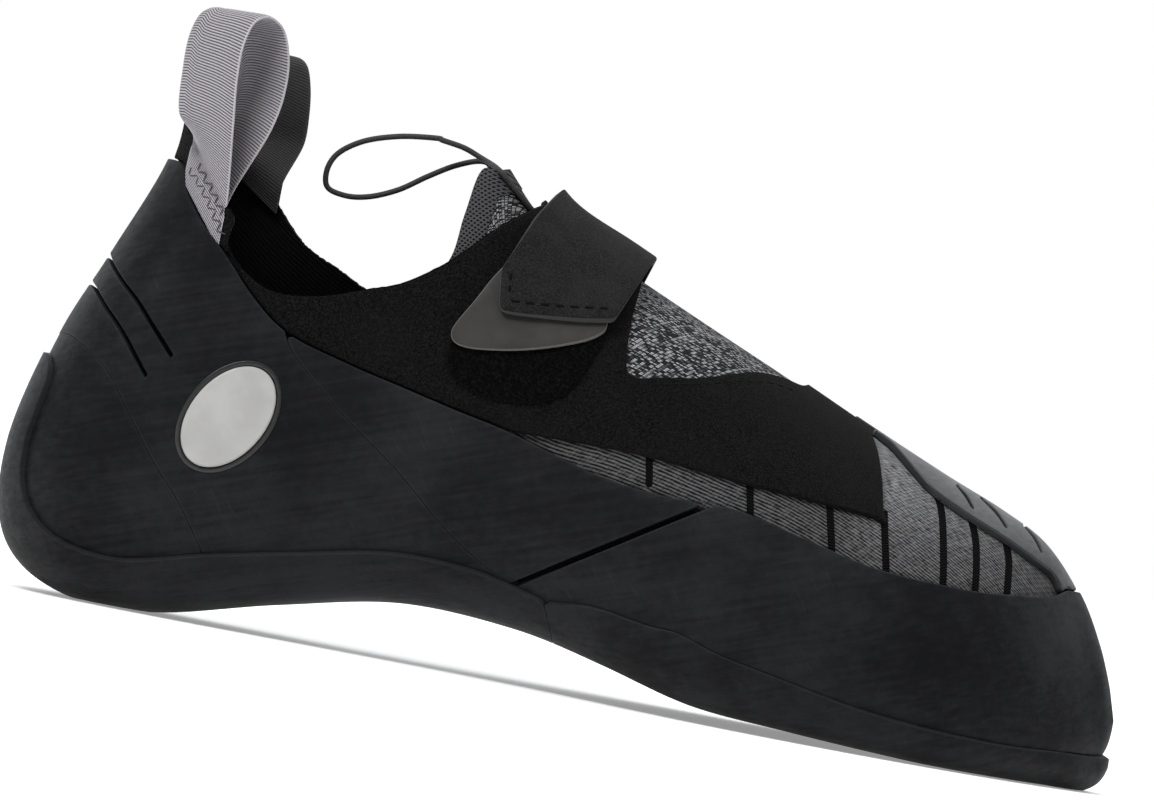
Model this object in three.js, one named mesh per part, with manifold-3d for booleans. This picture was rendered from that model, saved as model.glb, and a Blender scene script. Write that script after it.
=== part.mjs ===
// Right climbing shoe, downturned, with one strap. Millimetres.
// +X points to the toe, +Y to the medial side, +Z up. The origin is on the floor,
// at the middle of the heel's flat spot.
import * as THREE from 'three';
import { mergeVertices } from 'three/addons/utils/BufferGeometryUtils.js';
import Module from 'manifold-3d';

const wasm = await Module();
wasm.setup();

// Driving sizes of the last, the foot's form that everything is wrapped around
const LENGTH = 258;
const HEEL_HEIGHT = 112;
const INSTEP_HEIGHT = 104;
const BALL_WIDTH = 82;

// Thicknesses of the materials, and the clearance between touching pieces
const FIT = 0.3;
const UPPER_WALL = 1.5;
const SUEDE = 1.2;
const RAND = 2.0;
const TOE_RUBBER = 1.6;
const REAR_SOLE = 3.2;
const FRONT_SOLE = 4.2;
const INSOLE = 2.0;
const TONGUE = 1.6;
const PILE = 1.0;
const PULL_TAB = 1.0;
const STRAP = 2.0;
const BADGE = 0.6;

// Tapes
const TAPE_WIDTH = 19;
const TAPE = 1.2;
const LATERAL_LOOP = { height: 37.5, opening: 13, facing: 47, lean: -0.09, lifts: [3.0, 6, 9] };
const MEDIAL_LOOP = { height: 28.5, opening: 6.5, facing: 40, lean: -0.16, lifts: [-5, 0, 6] };
const INNER_LEG_CLEAR = 1.2;
const INNER_LEG_DROP = 6;
const LOOP_FOOT_MARGIN = { rear: 5, fore: 2 };
const CORD_TAPE_WIDTH = 3;
const CORD_TAPE = 1.2;

// How finely the last is divided
const STEPS_PER_STATION = 1.8;
const STEPS_PER_QUARTER = 5;

// Far beyond the shoe on any side, and the overlap of two cutters that join
const BEYOND = 2 * LENGTH;
const OVERLAP = 0.05;

// The last's sections. Each lies in a plane that holds the back or bottom point, the
// ridge point and the shoe's width. Stations 0 to 6 fan around the ankle, from above
// the collar down the back of the heel and under it; the rest run on to the toe.
// backX and ridgeX are per cent of LENGTH, backZ of HEEL_HEIGHT, ridgeZ of
// INSTEP_HEIGHT, and lateral, medial, soleY and ridgeY of BALL_WIDTH. waist is the
// share of the rise where the section is widest.
const SECTION = [
  'backX', 'backZ', 'ridgeX', 'ridgeZ',
  'lateral', 'medial', 'soleY', 'ridgeY', 'waist', 'under', 'over',
];
const SECTIONS = [
  [-1.2, 105.4, 13.2, 121.2, -26, 26, 0, 0, 0.55, 2.0, 2.4],
  [-1.4, 90.2, 14.3, 120.2, -29, 29, 0, 0, 0.50, 2.0, 2.4],
  [-4.9, 68.4, 15.9, 118.8, -33, 33, 0, 0, 0.42, 2.0, 2.4],
  [-7.9, 50.9, 17.4, 117.3, -35, 35, 0, 0, 0.36, 2.0, 2.4],
  [-10.1, 28.6, 18.8, 116.3, -36, 36, 0, 0, 0.30, 2.1, 2.4],
  [-9.1, 12.0, 20.0, 115.9, -37, 36, 0, 0, 0.25, 2.3, 2.4],
  [-4.3, 4.7, 20.9, 115.4, -37, 35, 0, 0, 0.22, 2.5, 2.4],
  [3.2, 4.5, 21.9, 115.2, -36, 34, 0, 0, 0.21, 2.6, 2.3],
  [13.6, 10.6, 23.1, 114.8, -35, 33, 0, 0, 0.21, 2.6, 2.2],
  [24.4, 15.8, 25.2, 113.5, -37, 34, -1, 0, 0.22, 2.6, 2.1],
  [34.9, 15.1, 31.0, 99.5, -42, 38, -1, 1, 0.25, 2.7, 2.0],
  [43.4, 11.5, 38.0, 91.7, -48, 43, -1, 4, 0.22, 4.0, 2.0],
  [51.6, 7.8, 46.1, 83.2, -52, 46, -1, 7, 0.20, 5.0, 2.0],
  [59.7, 6.6, 54.3, 74.8, -52, 47, 0, 11, 0.20, 6.0, 2.0],
  [67.8, 5.6, 62.0, 66.6, -45, 45, 4, 15, 0.22, 6.0, 2.0],
  [75.2, 4.9, 69.2, 59.3, -32, 43, 9, 18, 0.24, 6.0, 2.1],
  [80.6, 4.8, 74.8, 54.0, -16, 40, 13, 20, 0.26, 5.0, 2.2],
  [84.1, 5.3, 78.9, 48.8, -1, 36, 18, 21, 0.28, 4.0, 2.2],
  [85.9, 6.8, 82.4, 39.6, 10, 32, 21, 21, 0.30, 2.8, 2.2],
  [86.8, 10.0, 84.7, 30.2, 16, 27, 22, 22, 0.36, 2.4, 2.2],
  [87.0, 14.2, 86.1, 22.4, 21, 23, 22, 22, 0.45, 2.0, 2.0],
];
const LAST_STATION = SECTIONS.length - 1;

// Edges in the side view, each point a station and a share of the rise from the
// bottom or back line to the ridge
const COLLAR_LATERAL = [
  [0.7, 0.06], [1.1, 0.11], [1.85, 0.34], [2.7, 0.47], [3.3, 0.486], [4.33, 0.562],
  [5.24, 0.598], [6.38, 0.631],
  [7.37, 0.656], [7.87, 0.664], [8.66, 0.714], [9.32, 0.854], [9.92, 1.035],
];
const COLLAR_MEDIAL = [
  [0.55, 0.13], [1.25, 0.34], [2.06, 0.513], [3.28, 0.617], [4.63, 0.679], [6.0, 0.691],
  [7.37, 0.652], [7.87, 0.657], [8.66, 0.705], [9.32, 0.85], [9.92, 1.035],
];
const RAND_TOP = [
  [0.84, -0.12], [1.0, 0.0], [1.47, 0.145], [2.25, 0.335], [3.22, 0.462], [5.01, 0.567], [6.24, 0.553],
  [7.66, 0.495], [8.47, 0.442], [9.16, 0.411], [9.75, 0.429], [10.33, 0.434],
  [10.93, 0.44], [11.52, 0.474], [12.05, 0.512], [12.33, 0.537], [13.14, 0.548],
  [13.97, 0.56], [14.88, 0.618], [15.52, 0.664], [16.33, 0.737], [17.38, 0.883],
  [18.0, 1.1],
];
const TENSION_SEAM = [
  [5.0, 0.70], [6.24, 0.553], [7.72, 0.41], [8.74, 0.25], [9.31, 0.136], [9.87, 0.052],
];
const GROOVE = [
  [9.87, 0.052], [10.39, 0.161], [11.07, 0.3], [11.64, 0.426], [12.07, 0.522], [12.5, 0.62],
];
const HEEL_CUP_EDGE = [
  [2.61, -0.13], [2.8, -0.045], [3.79, 0.191], [4.86, 0.271], [5.98, 0.243], [6.6, 0.195],
  [7.29, 0.078],
];
const SOLE_EDGE = [
  [2.91, -0.09], [3.22, -0.03], [3.95, -0.001], [4.44, 0.011], [4.92, 0.029],
  [5.51, 0.042], [6.39, 0.055], [7.31, 0.078], [8.09, 0.068], [8.92, 0.063],
  [9.62, 0.059], [9.87, 0.052], [10.25, 0.041], [10.74, 0.082], [11.41, 0.101],
  [11.71, 0.117], [12.13, 0.102], [12.81, 0.082], [13.72, 0.05], [14.47, 0.04],
  [15.61, 0.042], [16.97, 0.05],
];
const FRONT_SOLE_BACK = [[10.21, 0.06], [10.35, -0.055], [10.42, -0.2]];
const SUEDE_FRONT = [
  [9.75, 0.429], [11.28, 0.55], [12.44, 0.625], [13.5, 0.7], [14.19, 0.752],
  [14.16, 0.884], [14.14, 0.987], [14.07, 1.046], [13.98, 1.15],
];
const KNIT_WINDOW = [
  [13.44, 1.4], [13.42, 1.15], [13.34, 1.08], [13.2, 1.037], [12.97, 1.015], [12.67, 0.983],
  [12.32, 0.922], [11.97, 0.859], [11.51, 0.79], [11.2, 0.747], [11.11, 0.752],
  [11.11, 0.808], [11.16, 0.897], [11.25, 0.994], [11.37, 1.15], [11.5, 1.4],
];
const PATCH_REAR = [[14.28, 1.4], [14.28, -0.4]];
const PATCH_EDGE = [
  [14.19, 1.03], [14.51, 1.01], [14.78, 1.0], [15.31, 0.99], [16.01, 0.96],
  [16.8, 0.93], [17.25, 0.90], [17.5, 0.95],
];
const TONGUE_EDGE = [
  [8.0, 0.60], [8.64, 0.721], [8.69, 0.829], [8.86, 0.943], [9.16, 0.969], [9.45, 1.03],
];
const TONGUE_BOTTOM = [[12.2, 1.2], [11.6, 0.78]];
const STRAP_LATERAL = [
  [12.1, 1.45], [11.49, 1.133], [11.23, 0.977], [10.91, 0.863], [10.24, 0.787],
  [9.44, 0.685], [9.46, 0.768], [10.23, 1.131], [10.8, 1.45],
];
const STRAP_MEDIAL = [
  [12.1, 1.45], [11.49, 1.133], [11.23, 0.977], [10.91, 0.75], [10.75, 0.56],
  [9.6, 0.56], [9.55, 0.75], [9.75, 0.95], [10.23, 1.131], [10.8, 1.45],
];
const PULL_TAB_EDGE = [
  [10.1, 0.92], [9.46, 0.76], [8.99, 0.568], [9.1, 0.549], [9.54, 0.597],
  [9.88, 0.654], [10.45, 0.753], [10.92, 0.858], [10.8, 0.93],
];
const PILE_EDGE = [
  [9.95, 0.86], [9.3, 0.70], [9.0, 0.56], [8.98, 0.498], [9.1, 0.465], [9.33, 0.468],
  [9.6, 0.491], [10.12, 0.563], [10.47, 0.636], [10.78, 0.733], [10.9, 0.83],
];
// The pull loop's free part: shares of its opening inwards, and of its height
const LOOP_PROFILE = [
  [-0.16, 0.35], [-0.18, 0.6], [-0.1, 0.82], [0.12, 0.96], [0.42, 1.0],
  [0.75, 0.95], [0.95, 0.78], [0.92, 0.56], [0.7, 0.34],
];
const LATERAL_SEAT = [[1.17, 0.06], [3.1, 0.45]];
const MEDIAL_SEAT = [[1.35, 0.29], [3.1, 0.59]];
// Openings and pieces drawn in plan: their stations, the share of the last's half
// width they take, and their top as a share of HEEL_HEIGHT
const SOLE_OPENING = { from: 6, to: 17, width: 0.62, top: 0.24 };
const INSOLE_AREA = { from: 5.7, to: 17.6, width: 0.82, top: 0.26 };
// The tongue loop in the side view, and its place across as per cent of BALL_WIDTH
const TONGUE_LOOP = [
  [9.27, 1.0, 0], [8.6, 0.99, 1], [7.8, 0.983, 1], [5.92, 0.98, 2], [3.66, 0.942, 3], [2.71, 0.851, 4],
  [2.6, 0.773, 5], [2.99, 0.745, 5], [3.5, 0.75, 6], [4.25, 0.79, 6], [5.01, 0.825, 7],
  [5.94, 0.865, 7], [6.8, 0.905, 7], [7.73, 0.935, 8], [8.6, 0.951, 9], [8.87, 0.957, 10],
];
const BADGE_CENTRE = [6.45, 0.37];
const BADGE_LENGTH = 26;
const BADGE_HEIGHT = 17;

// The last at any station
function sectionAt(station) {
  const i = THREE.MathUtils.clamp(Math.floor(station), 0, LAST_STATION - 1);
  const t = station - i;
  const row = (k) => SECTIONS[THREE.MathUtils.clamp(k, 0, LAST_STATION)];
  const [p0, p1, p2, p3] = [row(i - 1), row(i), row(i + 1), row(i + 2)];
  const section = {};
  SECTION.forEach((name, k) => {
    const bend = (2 * p0[k] - 5 * p1[k] + 4 * p2[k] - p3[k]) * t * t;
    const twist = (3 * p1[k] - 3 * p2[k] + p3[k] - p0[k]) * t * t * t;
    section[name] = 0.5 * (2 * p1[k] + (p2[k] - p0[k]) * t + bend + twist);
  });
  return {
    back: new THREE.Vector2(section.backX * LENGTH, section.backZ * HEEL_HEIGHT).divideScalar(100),
    ridge: new THREE.Vector2(section.ridgeX * LENGTH, section.ridgeZ * INSTEP_HEIGHT).divideScalar(100),
    lateral: section.lateral * BALL_WIDTH / 100,
    medial: section.medial * BALL_WIDTH / 100,
    soleY: section.soleY * BALL_WIDTH / 100,
    ridgeY: section.ridgeY * BALL_WIDTH / 100,
    waist: section.waist,
    under: section.under,
    over: section.over,
  };
}

// A point of the last: turn runs once around the section, from the middle of the
// sole up the medial side, over the ridge and down the lateral side
function lastPoint(station, turn) {
  const s = sectionAt(station);
  const cos = Math.cos(turn);
  const sin = Math.sin(turn);
  const below = cos > 0;
  const power = 2 / (below ? s.under : s.over);
  const across = Math.pow(Math.abs(sin), power);
  const along = Math.pow(Math.abs(cos), power);
  const rise = below ? s.waist * (1 - along) : s.waist + (1 - s.waist) * along;
  const middle = below ? s.soleY : s.ridgeY;
  const side = sin > 0 ? s.medial : s.lateral;
  const inPlane = s.back.clone().lerp(s.ridge, rise);
  return new THREE.Vector3(inPlane.x, middle + (side - middle) * across, inPlane.y);
}

function lastNormal(station, turn) {
  const step = 0.03;
  const around = lastPoint(station, turn + step).sub(lastPoint(station, turn - step));
  const low = Math.max(station - step, 0);
  const high = Math.min(station + step, LAST_STATION);
  const along = lastPoint(high, turn).sub(lastPoint(low, turn));
  return around.cross(along).normalize();
}

// Booleans
function toSolid(geometry) {
  const bare = geometry.index ? geometry.clone() : geometry;
  bare.deleteAttribute('normal');
  bare.deleteAttribute('uv');
  const merged = mergeVertices(bare, 1e-4);
  return new wasm.Manifold(new wasm.Mesh({
    numProp: 3,
    vertProperties: new Float32Array(merged.attributes.position.array),
    triVerts: new Uint32Array(merged.index.array),
  }));
}

function toGeometry(solid) {
  const mesh = solid.getMesh();
  const geometry = new THREE.BufferGeometry();
  geometry.setAttribute('position', new THREE.BufferAttribute(mesh.vertProperties, 3));
  geometry.setIndex(new THREE.BufferAttribute(mesh.triVerts, 1));
  geometry.computeVertexNormals();
  return geometry;
}

function indexedSolid(points, faces) {
  const geometry = new THREE.BufferGeometry();
  geometry.setAttribute('position', new THREE.Float32BufferAttribute(points.flatMap((p) => p.toArray()), 3));
  geometry.setIndex(faces.flat());
  return toSolid(geometry);
}

// The filled last, swollen or shrunk by offset(normal, station, turn)
function lastSolid(offset) {
  const points = [];
  const faces = [];
  const around = 4 * STEPS_PER_QUARTER;
  const rings = LAST_STATION * STEPS_PER_STATION;
  for (let i = 0; i < rings; i += 1) {
    const station = i / STEPS_PER_STATION;
    for (let j = 0; j < around; j += 1) {
      const turn = 2 * Math.PI * j / around;
      const normal = lastNormal(station, turn);
      points.push(lastPoint(station, turn).addScaledVector(normal, offset(normal, station, turn)));
    }
  }
  const start = points.length;
  const first = new THREE.Vector3();
  points.slice(0, around).forEach((p) => first.addScaledVector(p, 1 / around));
  const s = sectionAt(LAST_STATION);
  const middle = s.back.clone().lerp(s.ridge, s.waist);
  const forward = new THREE.Vector3(1, 0, 0);
  const tip = new THREE.Vector3(middle.x, (s.lateral + s.medial) / 2, middle.y);
  tip.addScaledVector(forward, offset(forward, LAST_STATION, 0));
  points.push(first, tip);
  const at = (i, j) => i * around + (j % around);
  for (let j = 0; j < around; j += 1) {
    for (let i = 0; i < rings - 1; i += 1) {
      faces.push([at(i, j), at(i, j + 1), at(i + 1, j + 1)]);
      faces.push([at(i, j), at(i + 1, j + 1), at(i + 1, j)]);
    }
    faces.push([start, at(0, j + 1), at(0, j)]);
    faces.push([start + 1, at(rings - 1, j), at(rings - 1, j + 1)]);
  }
  return indexedSolid(points, faces);
}

const even = (distance) => lastSolid(() => distance);
const layer = (inner, outer) => even(outer).subtract(even(inner));

// Side view
function sidePoint([station, rise]) {
  const s = sectionAt(Math.min(station, LAST_STATION));
  return s.back.clone().lerp(s.ridge, rise);
}

const sideLine = (edge) => edge.map(sidePoint);
const far = (x, z) => new THREE.Vector2(x * BEYOND, z * BEYOND);

// Moves a line sideways in the side view, to its left as it runs
function shifted(line, distance) {
  return line.map((p, i) => {
    const before = line[Math.max(i - 1, 0)];
    const after = line[Math.min(i + 1, line.length - 1)];
    const along = after.clone().sub(before).normalize();
    return new THREE.Vector2(p.x - along.y * distance, p.y + along.x * distance);
  });
}

// A side-view outline pushed through the shoe from one y to another
function prism(outline, fromY = -BEYOND, toY = BEYOND) {
  const shape = new THREE.Shape(outline);
  const geometry = new THREE.ExtrudeGeometry(shape, { depth: toY - fromY, bevelEnabled: false });
  geometry.rotateX(Math.PI / 2);
  geometry.translate(0, toY, 0);
  return toSolid(geometry);
}

// A plan outline pushed upwards
function column(outline, fromZ, toZ) {
  const shape = new THREE.Shape(outline);
  const geometry = new THREE.ExtrudeGeometry(shape, { depth: toZ - fromZ, bevelEnabled: false });
  geometry.translate(0, 0, fromZ);
  return toSolid(geometry);
}

const lowSide = (line) => prism([
  far(-1, 0).setY(line[0].y), ...line, far(1, 0).setY(line.at(-1).y), far(1, -1), far(-1, -1),
]);
const highSide = (line) => prism([
  far(-1, 0).setY(line[0].y), ...line, far(1, 0).setY(line.at(-1).y), far(1, 1), far(-1, 1),
]);

const edgeGap = FIT / 2;
const floor = prism([far(-1, 0), far(1, 0), far(1, -1), far(-1, -1)]);

// Everything above the collar, which the upper and its overlays are open to
function collarOpening() {
  const tabTop = HEEL_HEIGHT;
  const above = (edge, fromY, toY) => {
    const line = sideLine(edge);
    const tab = new THREE.Vector2(line[0].x, tabTop);
    return prism([far(-1, 0).setY(tabTop), tab, ...line, far(0, 1).setX(line.at(-1).x), far(-1, 1)], fromY, toY);
  };
  return above(COLLAR_LATERAL, -BEYOND, OVERLAP).add(above(COLLAR_MEDIAL, 0, BEYOND));
}

// Plan outline that follows the last's bottom, at a share of its half widths
function planOutline(fromStation, toStation, share) {
  const lateral = [];
  const medial = [];
  for (let station = fromStation; station <= toStation; station += 1) {
    const s = sectionAt(station);
    lateral.push(new THREE.Vector2(s.back.x, s.soleY + (s.lateral - s.soleY) * share));
    medial.unshift(new THREE.Vector2(s.back.x, s.soleY + (s.medial - s.soleY) * share));
  }
  return [...lateral, ...medial];
}

const collar = collarOpening();
const overlayInner = UPPER_WALL + FIT;
const randOuter = overlayInner + RAND;
const suedeOuter = overlayInner + SUEDE;

function planArea({ from, to, width, top }) {
  return column(planOutline(from, to, width), -BEYOND, top * HEEL_HEIGHT);
}

function buildUpper() {
  return layer(0, UPPER_WALL).subtract(collar).subtract(planArea(SOLE_OPENING));
}

function buildInsole() {
  return layer(-FIT - INSOLE, -FIT).intersect(planArea(INSOLE_AREA));
}

function buildTongue() {
  const area = prism([...sideLine(TONGUE_EDGE), ...TONGUE_BOTTOM.map(sidePoint)]);
  return layer(-FIT - TONGUE, -FIT).intersect(area);
}

// Rubber keeps the last's form; the soles also grow thicker underneath
const rubberWall = layer(overlayInner, randOuter).subtract(collar);
const aboveSole = highSide(shifted(sideLine(SOLE_EDGE), edgeGap));
const belowSole = lowSide(shifted(sideLine(SOLE_EDGE), -edgeGap));
const belowRandTop = lowSide(shifted(sideLine(RAND_TOP), -edgeGap));
const aboveRandTop = highSide(shifted(sideLine(RAND_TOP), edgeGap));

function behind(edge, gap) {
  const line = shifted(sideLine(edge), gap);
  const last = line.at(-1);
  const first = line[0];
  return prism([first.clone().setY(BEYOND), ...line, last.clone().setY(-BEYOND), far(-1, -1), far(-1, 1)]);
}

function inFrontOf(edge, gap) {
  const line = shifted(sideLine(edge), gap);
  const last = line.at(-1);
  const first = line[0];
  return prism([first.clone().setY(BEYOND), ...line, last.clone().setY(-BEYOND), far(1, -1), far(1, 1)]);
}

const grooveDown = [...GROOVE].reverse();
const behindTensionSeam = behind(TENSION_SEAM, -edgeGap);

function buildHeelCup() {
  const area = lowSide(shifted(sideLine(HEEL_CUP_EDGE), -edgeGap));
  return rubberWall.intersect(aboveSole).intersect(area).intersect(behindTensionSeam);
}

function buildHeelRand() {
  const area = highSide(shifted(sideLine(HEEL_CUP_EDGE), edgeGap)).intersect(behindTensionSeam);
  return rubberWall.intersect(aboveSole).intersect(area).intersect(belowRandTop);
}

const everywhere = [far(-1, -1), far(1, -1), far(1, 1), far(-1, 1)];

function buildSideRand(fromY, toY) {
  const area = inFrontOf(TENSION_SEAM, edgeGap).intersect(behind(grooveDown, -edgeGap));
  const side = prism(everywhere, fromY, toY);
  return rubberWall.intersect(area).intersect(aboveSole).intersect(belowRandTop).intersect(side);
}

function buildFrontRand() {
  const area = inFrontOf(grooveDown, edgeGap).intersect(belowRandTop);
  return rubberWall.intersect(area).intersect(aboveSole);
}

// A sole that grows from the rand's thickness as facing rises from 0 to a half
function grownSole(facing, thickness) {
  const grown = (normal) => (
    randOuter + (thickness - RAND) * Math.min(1, 2 * Math.max(0, facing(normal)))
  );
  return lastSolid(grown).subtract(even(overlayInner)).subtract(floor);
}

function buildRearSole() {
  const wall = grownSole((normal) => Math.max(-normal.z, -normal.x), REAR_SOLE);
  return wall.intersect(belowSole).intersect(behind(FRONT_SOLE_BACK, -edgeGap));
}

function buildFrontSole() {
  const wall = grownSole((normal) => -normal.z, FRONT_SOLE);
  return wall.intersect(belowSole).intersect(inFrontOf(FRONT_SOLE_BACK, edgeGap));
}

function buildQuarter() {
  const front = sideLine(SUEDE_FRONT);
  const area = prism([
    far(-1, -1), front[0].clone().setY(-BEYOND), ...front, front.at(-1).clone().setY(BEYOND), far(-1, 1),
  ]);
  const [left, right] = LATERAL_SEAT.map(sidePoint);
  const footRear = left.x - LOOP_FOOT_MARGIN.rear;
  const footFore = right.x + LOOP_FOOT_MARGIN.fore;
  const loopFoot = prism([
    new THREE.Vector2(footRear, left.y), new THREE.Vector2(footRear, BEYOND),
    new THREE.Vector2(footFore, BEYOND), new THREE.Vector2(footFore, right.y - TAPE_WIDTH),
  ], -BEYOND, 0);
  const wall = layer(overlayInner, suedeOuter).subtract(collar).subtract(loopFoot);
  return wall.intersect(area).subtract(prism(sideLine(KNIT_WINDOW))).intersect(aboveRandTop);
}

function buildToePatch() {
  const wall = layer(overlayInner, overlayInner + TOE_RUBBER).intersect(aboveRandTop);
  const fore = inFrontOf(PATCH_REAR, 0);
  const line = sideLine(PATCH_EDGE);
  const ridgeY = sectionAt(15).ridgeY;
  const lateralArea = prism([
    line[0].clone().setY(BEYOND), ...line, far(1, 0).setY(line.at(-1).y), far(1, 1),
  ], -BEYOND, ridgeY + OVERLAP);
  const medialArea = prism(everywhere, ridgeY, BEYOND);
  return wall.intersect(fore).intersect(lateralArea.add(medialArea));
}

// The strap lies on the pull tab at its lateral end and on the suede at its medial end
const pileInner = suedeOuter + FIT;
const pullTabInner = pileInner + PILE + FIT;
const strapLifted = pullTabInner + PULL_TAB + FIT;

function strapLift(station, turn) {
  const s = sectionAt(station);
  const y = lastPoint(station, turn).y;
  const share = THREE.MathUtils.smoothstep(y, s.ridgeY, s.medial);
  return THREE.MathUtils.lerp(strapLifted, pileInner, share);
}

function buildStrap() {
  const outside = lastSolid((n, s, t) => strapLift(s, t) + STRAP);
  const wall = outside.subtract(lastSolid((n, s, t) => strapLift(s, t)));
  const split = sectionAt(10.5).ridgeY;
  const lateral = prism(sideLine(STRAP_LATERAL), -BEYOND, split + OVERLAP);
  const medial = prism(sideLine(STRAP_MEDIAL), split, BEYOND);
  return wall.intersect(lateral.add(medial));
}

function onLateralSide(edge, inner, thickness) {
  const area = prism(sideLine(edge), -BEYOND, sectionAt(10).soleY);
  return layer(inner, inner + thickness).intersect(area);
}

function buildBadge() {
  const centre = sidePoint(BADGE_CENTRE);
  const outline = new THREE.Shape().absellipse(
    centre.x, centre.y, BADGE_LENGTH / 2, BADGE_HEIGHT / 2, 0, 2 * Math.PI, false, Math.PI / 3,
  );
  const area = prism(outline.getPoints(20), -BEYOND, 0);
  return layer(randOuter + FIT, randOuter + FIT + BADGE).intersect(area);
}

// Where a rise meets the last's surface; side is 1 medial, -1 lateral
function surfaceAt(station, rise, side, offset) {
  const s = sectionAt(station);
  const over = Math.pow(THREE.MathUtils.clamp((rise - s.waist) / (1 - s.waist), 0, 1), s.over / 2);
  const under = Math.pow(THREE.MathUtils.clamp((s.waist - rise) / s.waist, 0, 1), s.under / 2);
  const turn = Math.acos(under - over);
  const onSide = side > 0 ? turn : 2 * Math.PI - turn;
  return lastPoint(station, onSide).addScaledVector(lastNormal(station, onSide), offset);
}

// The surface at a point of the side view, found between the stations' lines
function surfaceBehind(point, side, offset) {
  let low = 0;
  let high = LAST_STATION;
  for (let i = 0; i < 30; i += 1) {
    const middle = (low + high) / 2;
    const s = sectionAt(middle);
    const inFront = s.ridge.clone().sub(s.back).cross(point.clone().sub(s.back)) < 0;
    if (inFront) low = middle;
    else high = middle;
  }
  const s = sectionAt(low);
  const span = s.ridge.clone().sub(s.back);
  const rise = point.clone().sub(s.back).dot(span) / span.lengthSq();
  return surfaceAt(low, rise, side, offset);
}

// A tape: rows of points across its width, made thick on both sides
function tapeSolid(rows, thickness) {
  const across = rows[0].length;
  const points = [[], []];
  rows.forEach((row, i) => row.forEach((p, j) => {
    const along = rows[Math.min(i + 1, rows.length - 1)][j].clone().sub(rows[Math.max(i - 1, 0)][j]);
    const width = row[Math.min(j + 1, across - 1)].clone().sub(row[Math.max(j - 1, 0)]);
    const face = along.cross(width).normalize();
    points[0].push(p.clone().addScaledVector(face, thickness / 2));
    points[1].push(p.clone().addScaledVector(face, -thickness / 2));
  }));
  const count = rows.length * across;
  const at = (side, i, j) => side * count + i * across + j;
  const faces = [];
  const quad = (a, b, c, d) => faces.push([a, b, c], [a, c, d]);
  const end = rows.length - 1;
  const edge = across - 1;
  for (let i = 0; i < end; i += 1) {
    for (let j = 0; j < edge; j += 1) {
      quad(at(0, i, j), at(0, i + 1, j), at(0, i + 1, j + 1), at(0, i, j + 1));
      quad(at(1, i, j), at(1, i, j + 1), at(1, i + 1, j + 1), at(1, i + 1, j));
    }
    quad(at(0, i, 0), at(1, i, 0), at(1, i + 1, 0), at(0, i + 1, 0));
    quad(at(0, i, edge), at(0, i + 1, edge), at(1, i + 1, edge), at(1, i, edge));
  }
  for (let j = 0; j < edge; j += 1) {
    quad(at(0, 0, j), at(0, 0, j + 1), at(1, 0, j + 1), at(1, 0, j));
    quad(at(0, end, j), at(1, end, j), at(1, end, j + 1), at(0, end, j + 1));
  }
  return indexedSolid(points.flat(), faces);
}

// A pull loop: its outer leg rises from outside the collar, turns over at the top
// and comes down as the inner leg. seat gives the two ends of its foot.
function buildPullLoop({ seat, side, outer, height, opening, facing, lean, lifts }) {
  const across = 4;
  const shares = Array.from({ length: across + 1 }, (_, j) => j / across);
  const foot = seat.map(sidePoint);
  const footRow = (lift, offset) => shares.map((share) => {
    const point = foot[0].clone().lerp(foot[1], share).add(new THREE.Vector2(0, lift));
    return surfaceBehind(point, side, offset);
  });
  const first = footRow(0, outer);
  const turned = THREE.MathUtils.degToRad(facing);
  const width = new THREE.Vector3(Math.cos(turned), side * Math.sin(turned), 0);
  const up = new THREE.Vector3(lean, 0, 1).normalize();
  const inward = new THREE.Vector3(Math.sin(turned), -side * Math.cos(turned), 0);
  const middle = first[across / 2].clone().setZ(first[0].z);
  const freeRow = ([inside, rising]) => shares.map((share) => (
    middle.clone().addScaledVector(width, (share - 0.5) * TAPE_WIDTH)
      .addScaledVector(inward, inside * opening).addScaledVector(up, rising * height)
  ));
  const rows = [
    ...lifts.map((lift) => footRow(lift, outer)),
    ...LOOP_PROFILE.map(freeRow),
    ...[lifts.at(-1), lifts.at(-1) - INNER_LEG_DROP].map((lift) => (
      footRow(lift, -INNER_LEG_CLEAR - TAPE / 2)
    )),
  ];
  return tapeSolid(rows, TAPE);
}

// The thin tape loop on the tongue, its two ends sewn at the tongue's top edge
function buildTongueLoop() {
  const points = TONGUE_LOOP.map(([station, rise, y]) => {
    const p = sidePoint([station, rise]);
    return new THREE.Vector3(p.x, y * BALL_WIDTH / 100, p.y);
  });
  const route = new THREE.CatmullRomCurve3(points).getPoints(30);
  const rows = route.map((p) => [-0.5, 0.5].map((share) => (
    p.clone().add(new THREE.Vector3(0, share * CORD_TAPE_WIDTH, 0))
  )));
  return tapeSolid(rows, CORD_TAPE);
}

const COLOURS = {
  rubber: 0x26292b,
  suede: 0x121314,
  knit: 0x3a3c3e,
  lining: 0x1b1c1d,
  microfibre: 0x2b2c2d,
  tab: 0x55524f,
  greyTape: 0xa09da0,
  blackTape: 0x1c1c1e,
  badge: 0xb9b6b4,
};

function material(colour, roughness) {
  return new THREE.MeshStandardMaterial({ color: COLOURS[colour], roughness, metalness: 0 });
}

const shoe = new THREE.Group();

function addPiece(name, solid, colour, roughness) {
  const mesh = new THREE.Mesh(toGeometry(solid), material(colour, roughness));
  mesh.name = name;
  shoe.add(mesh);
}

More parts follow.
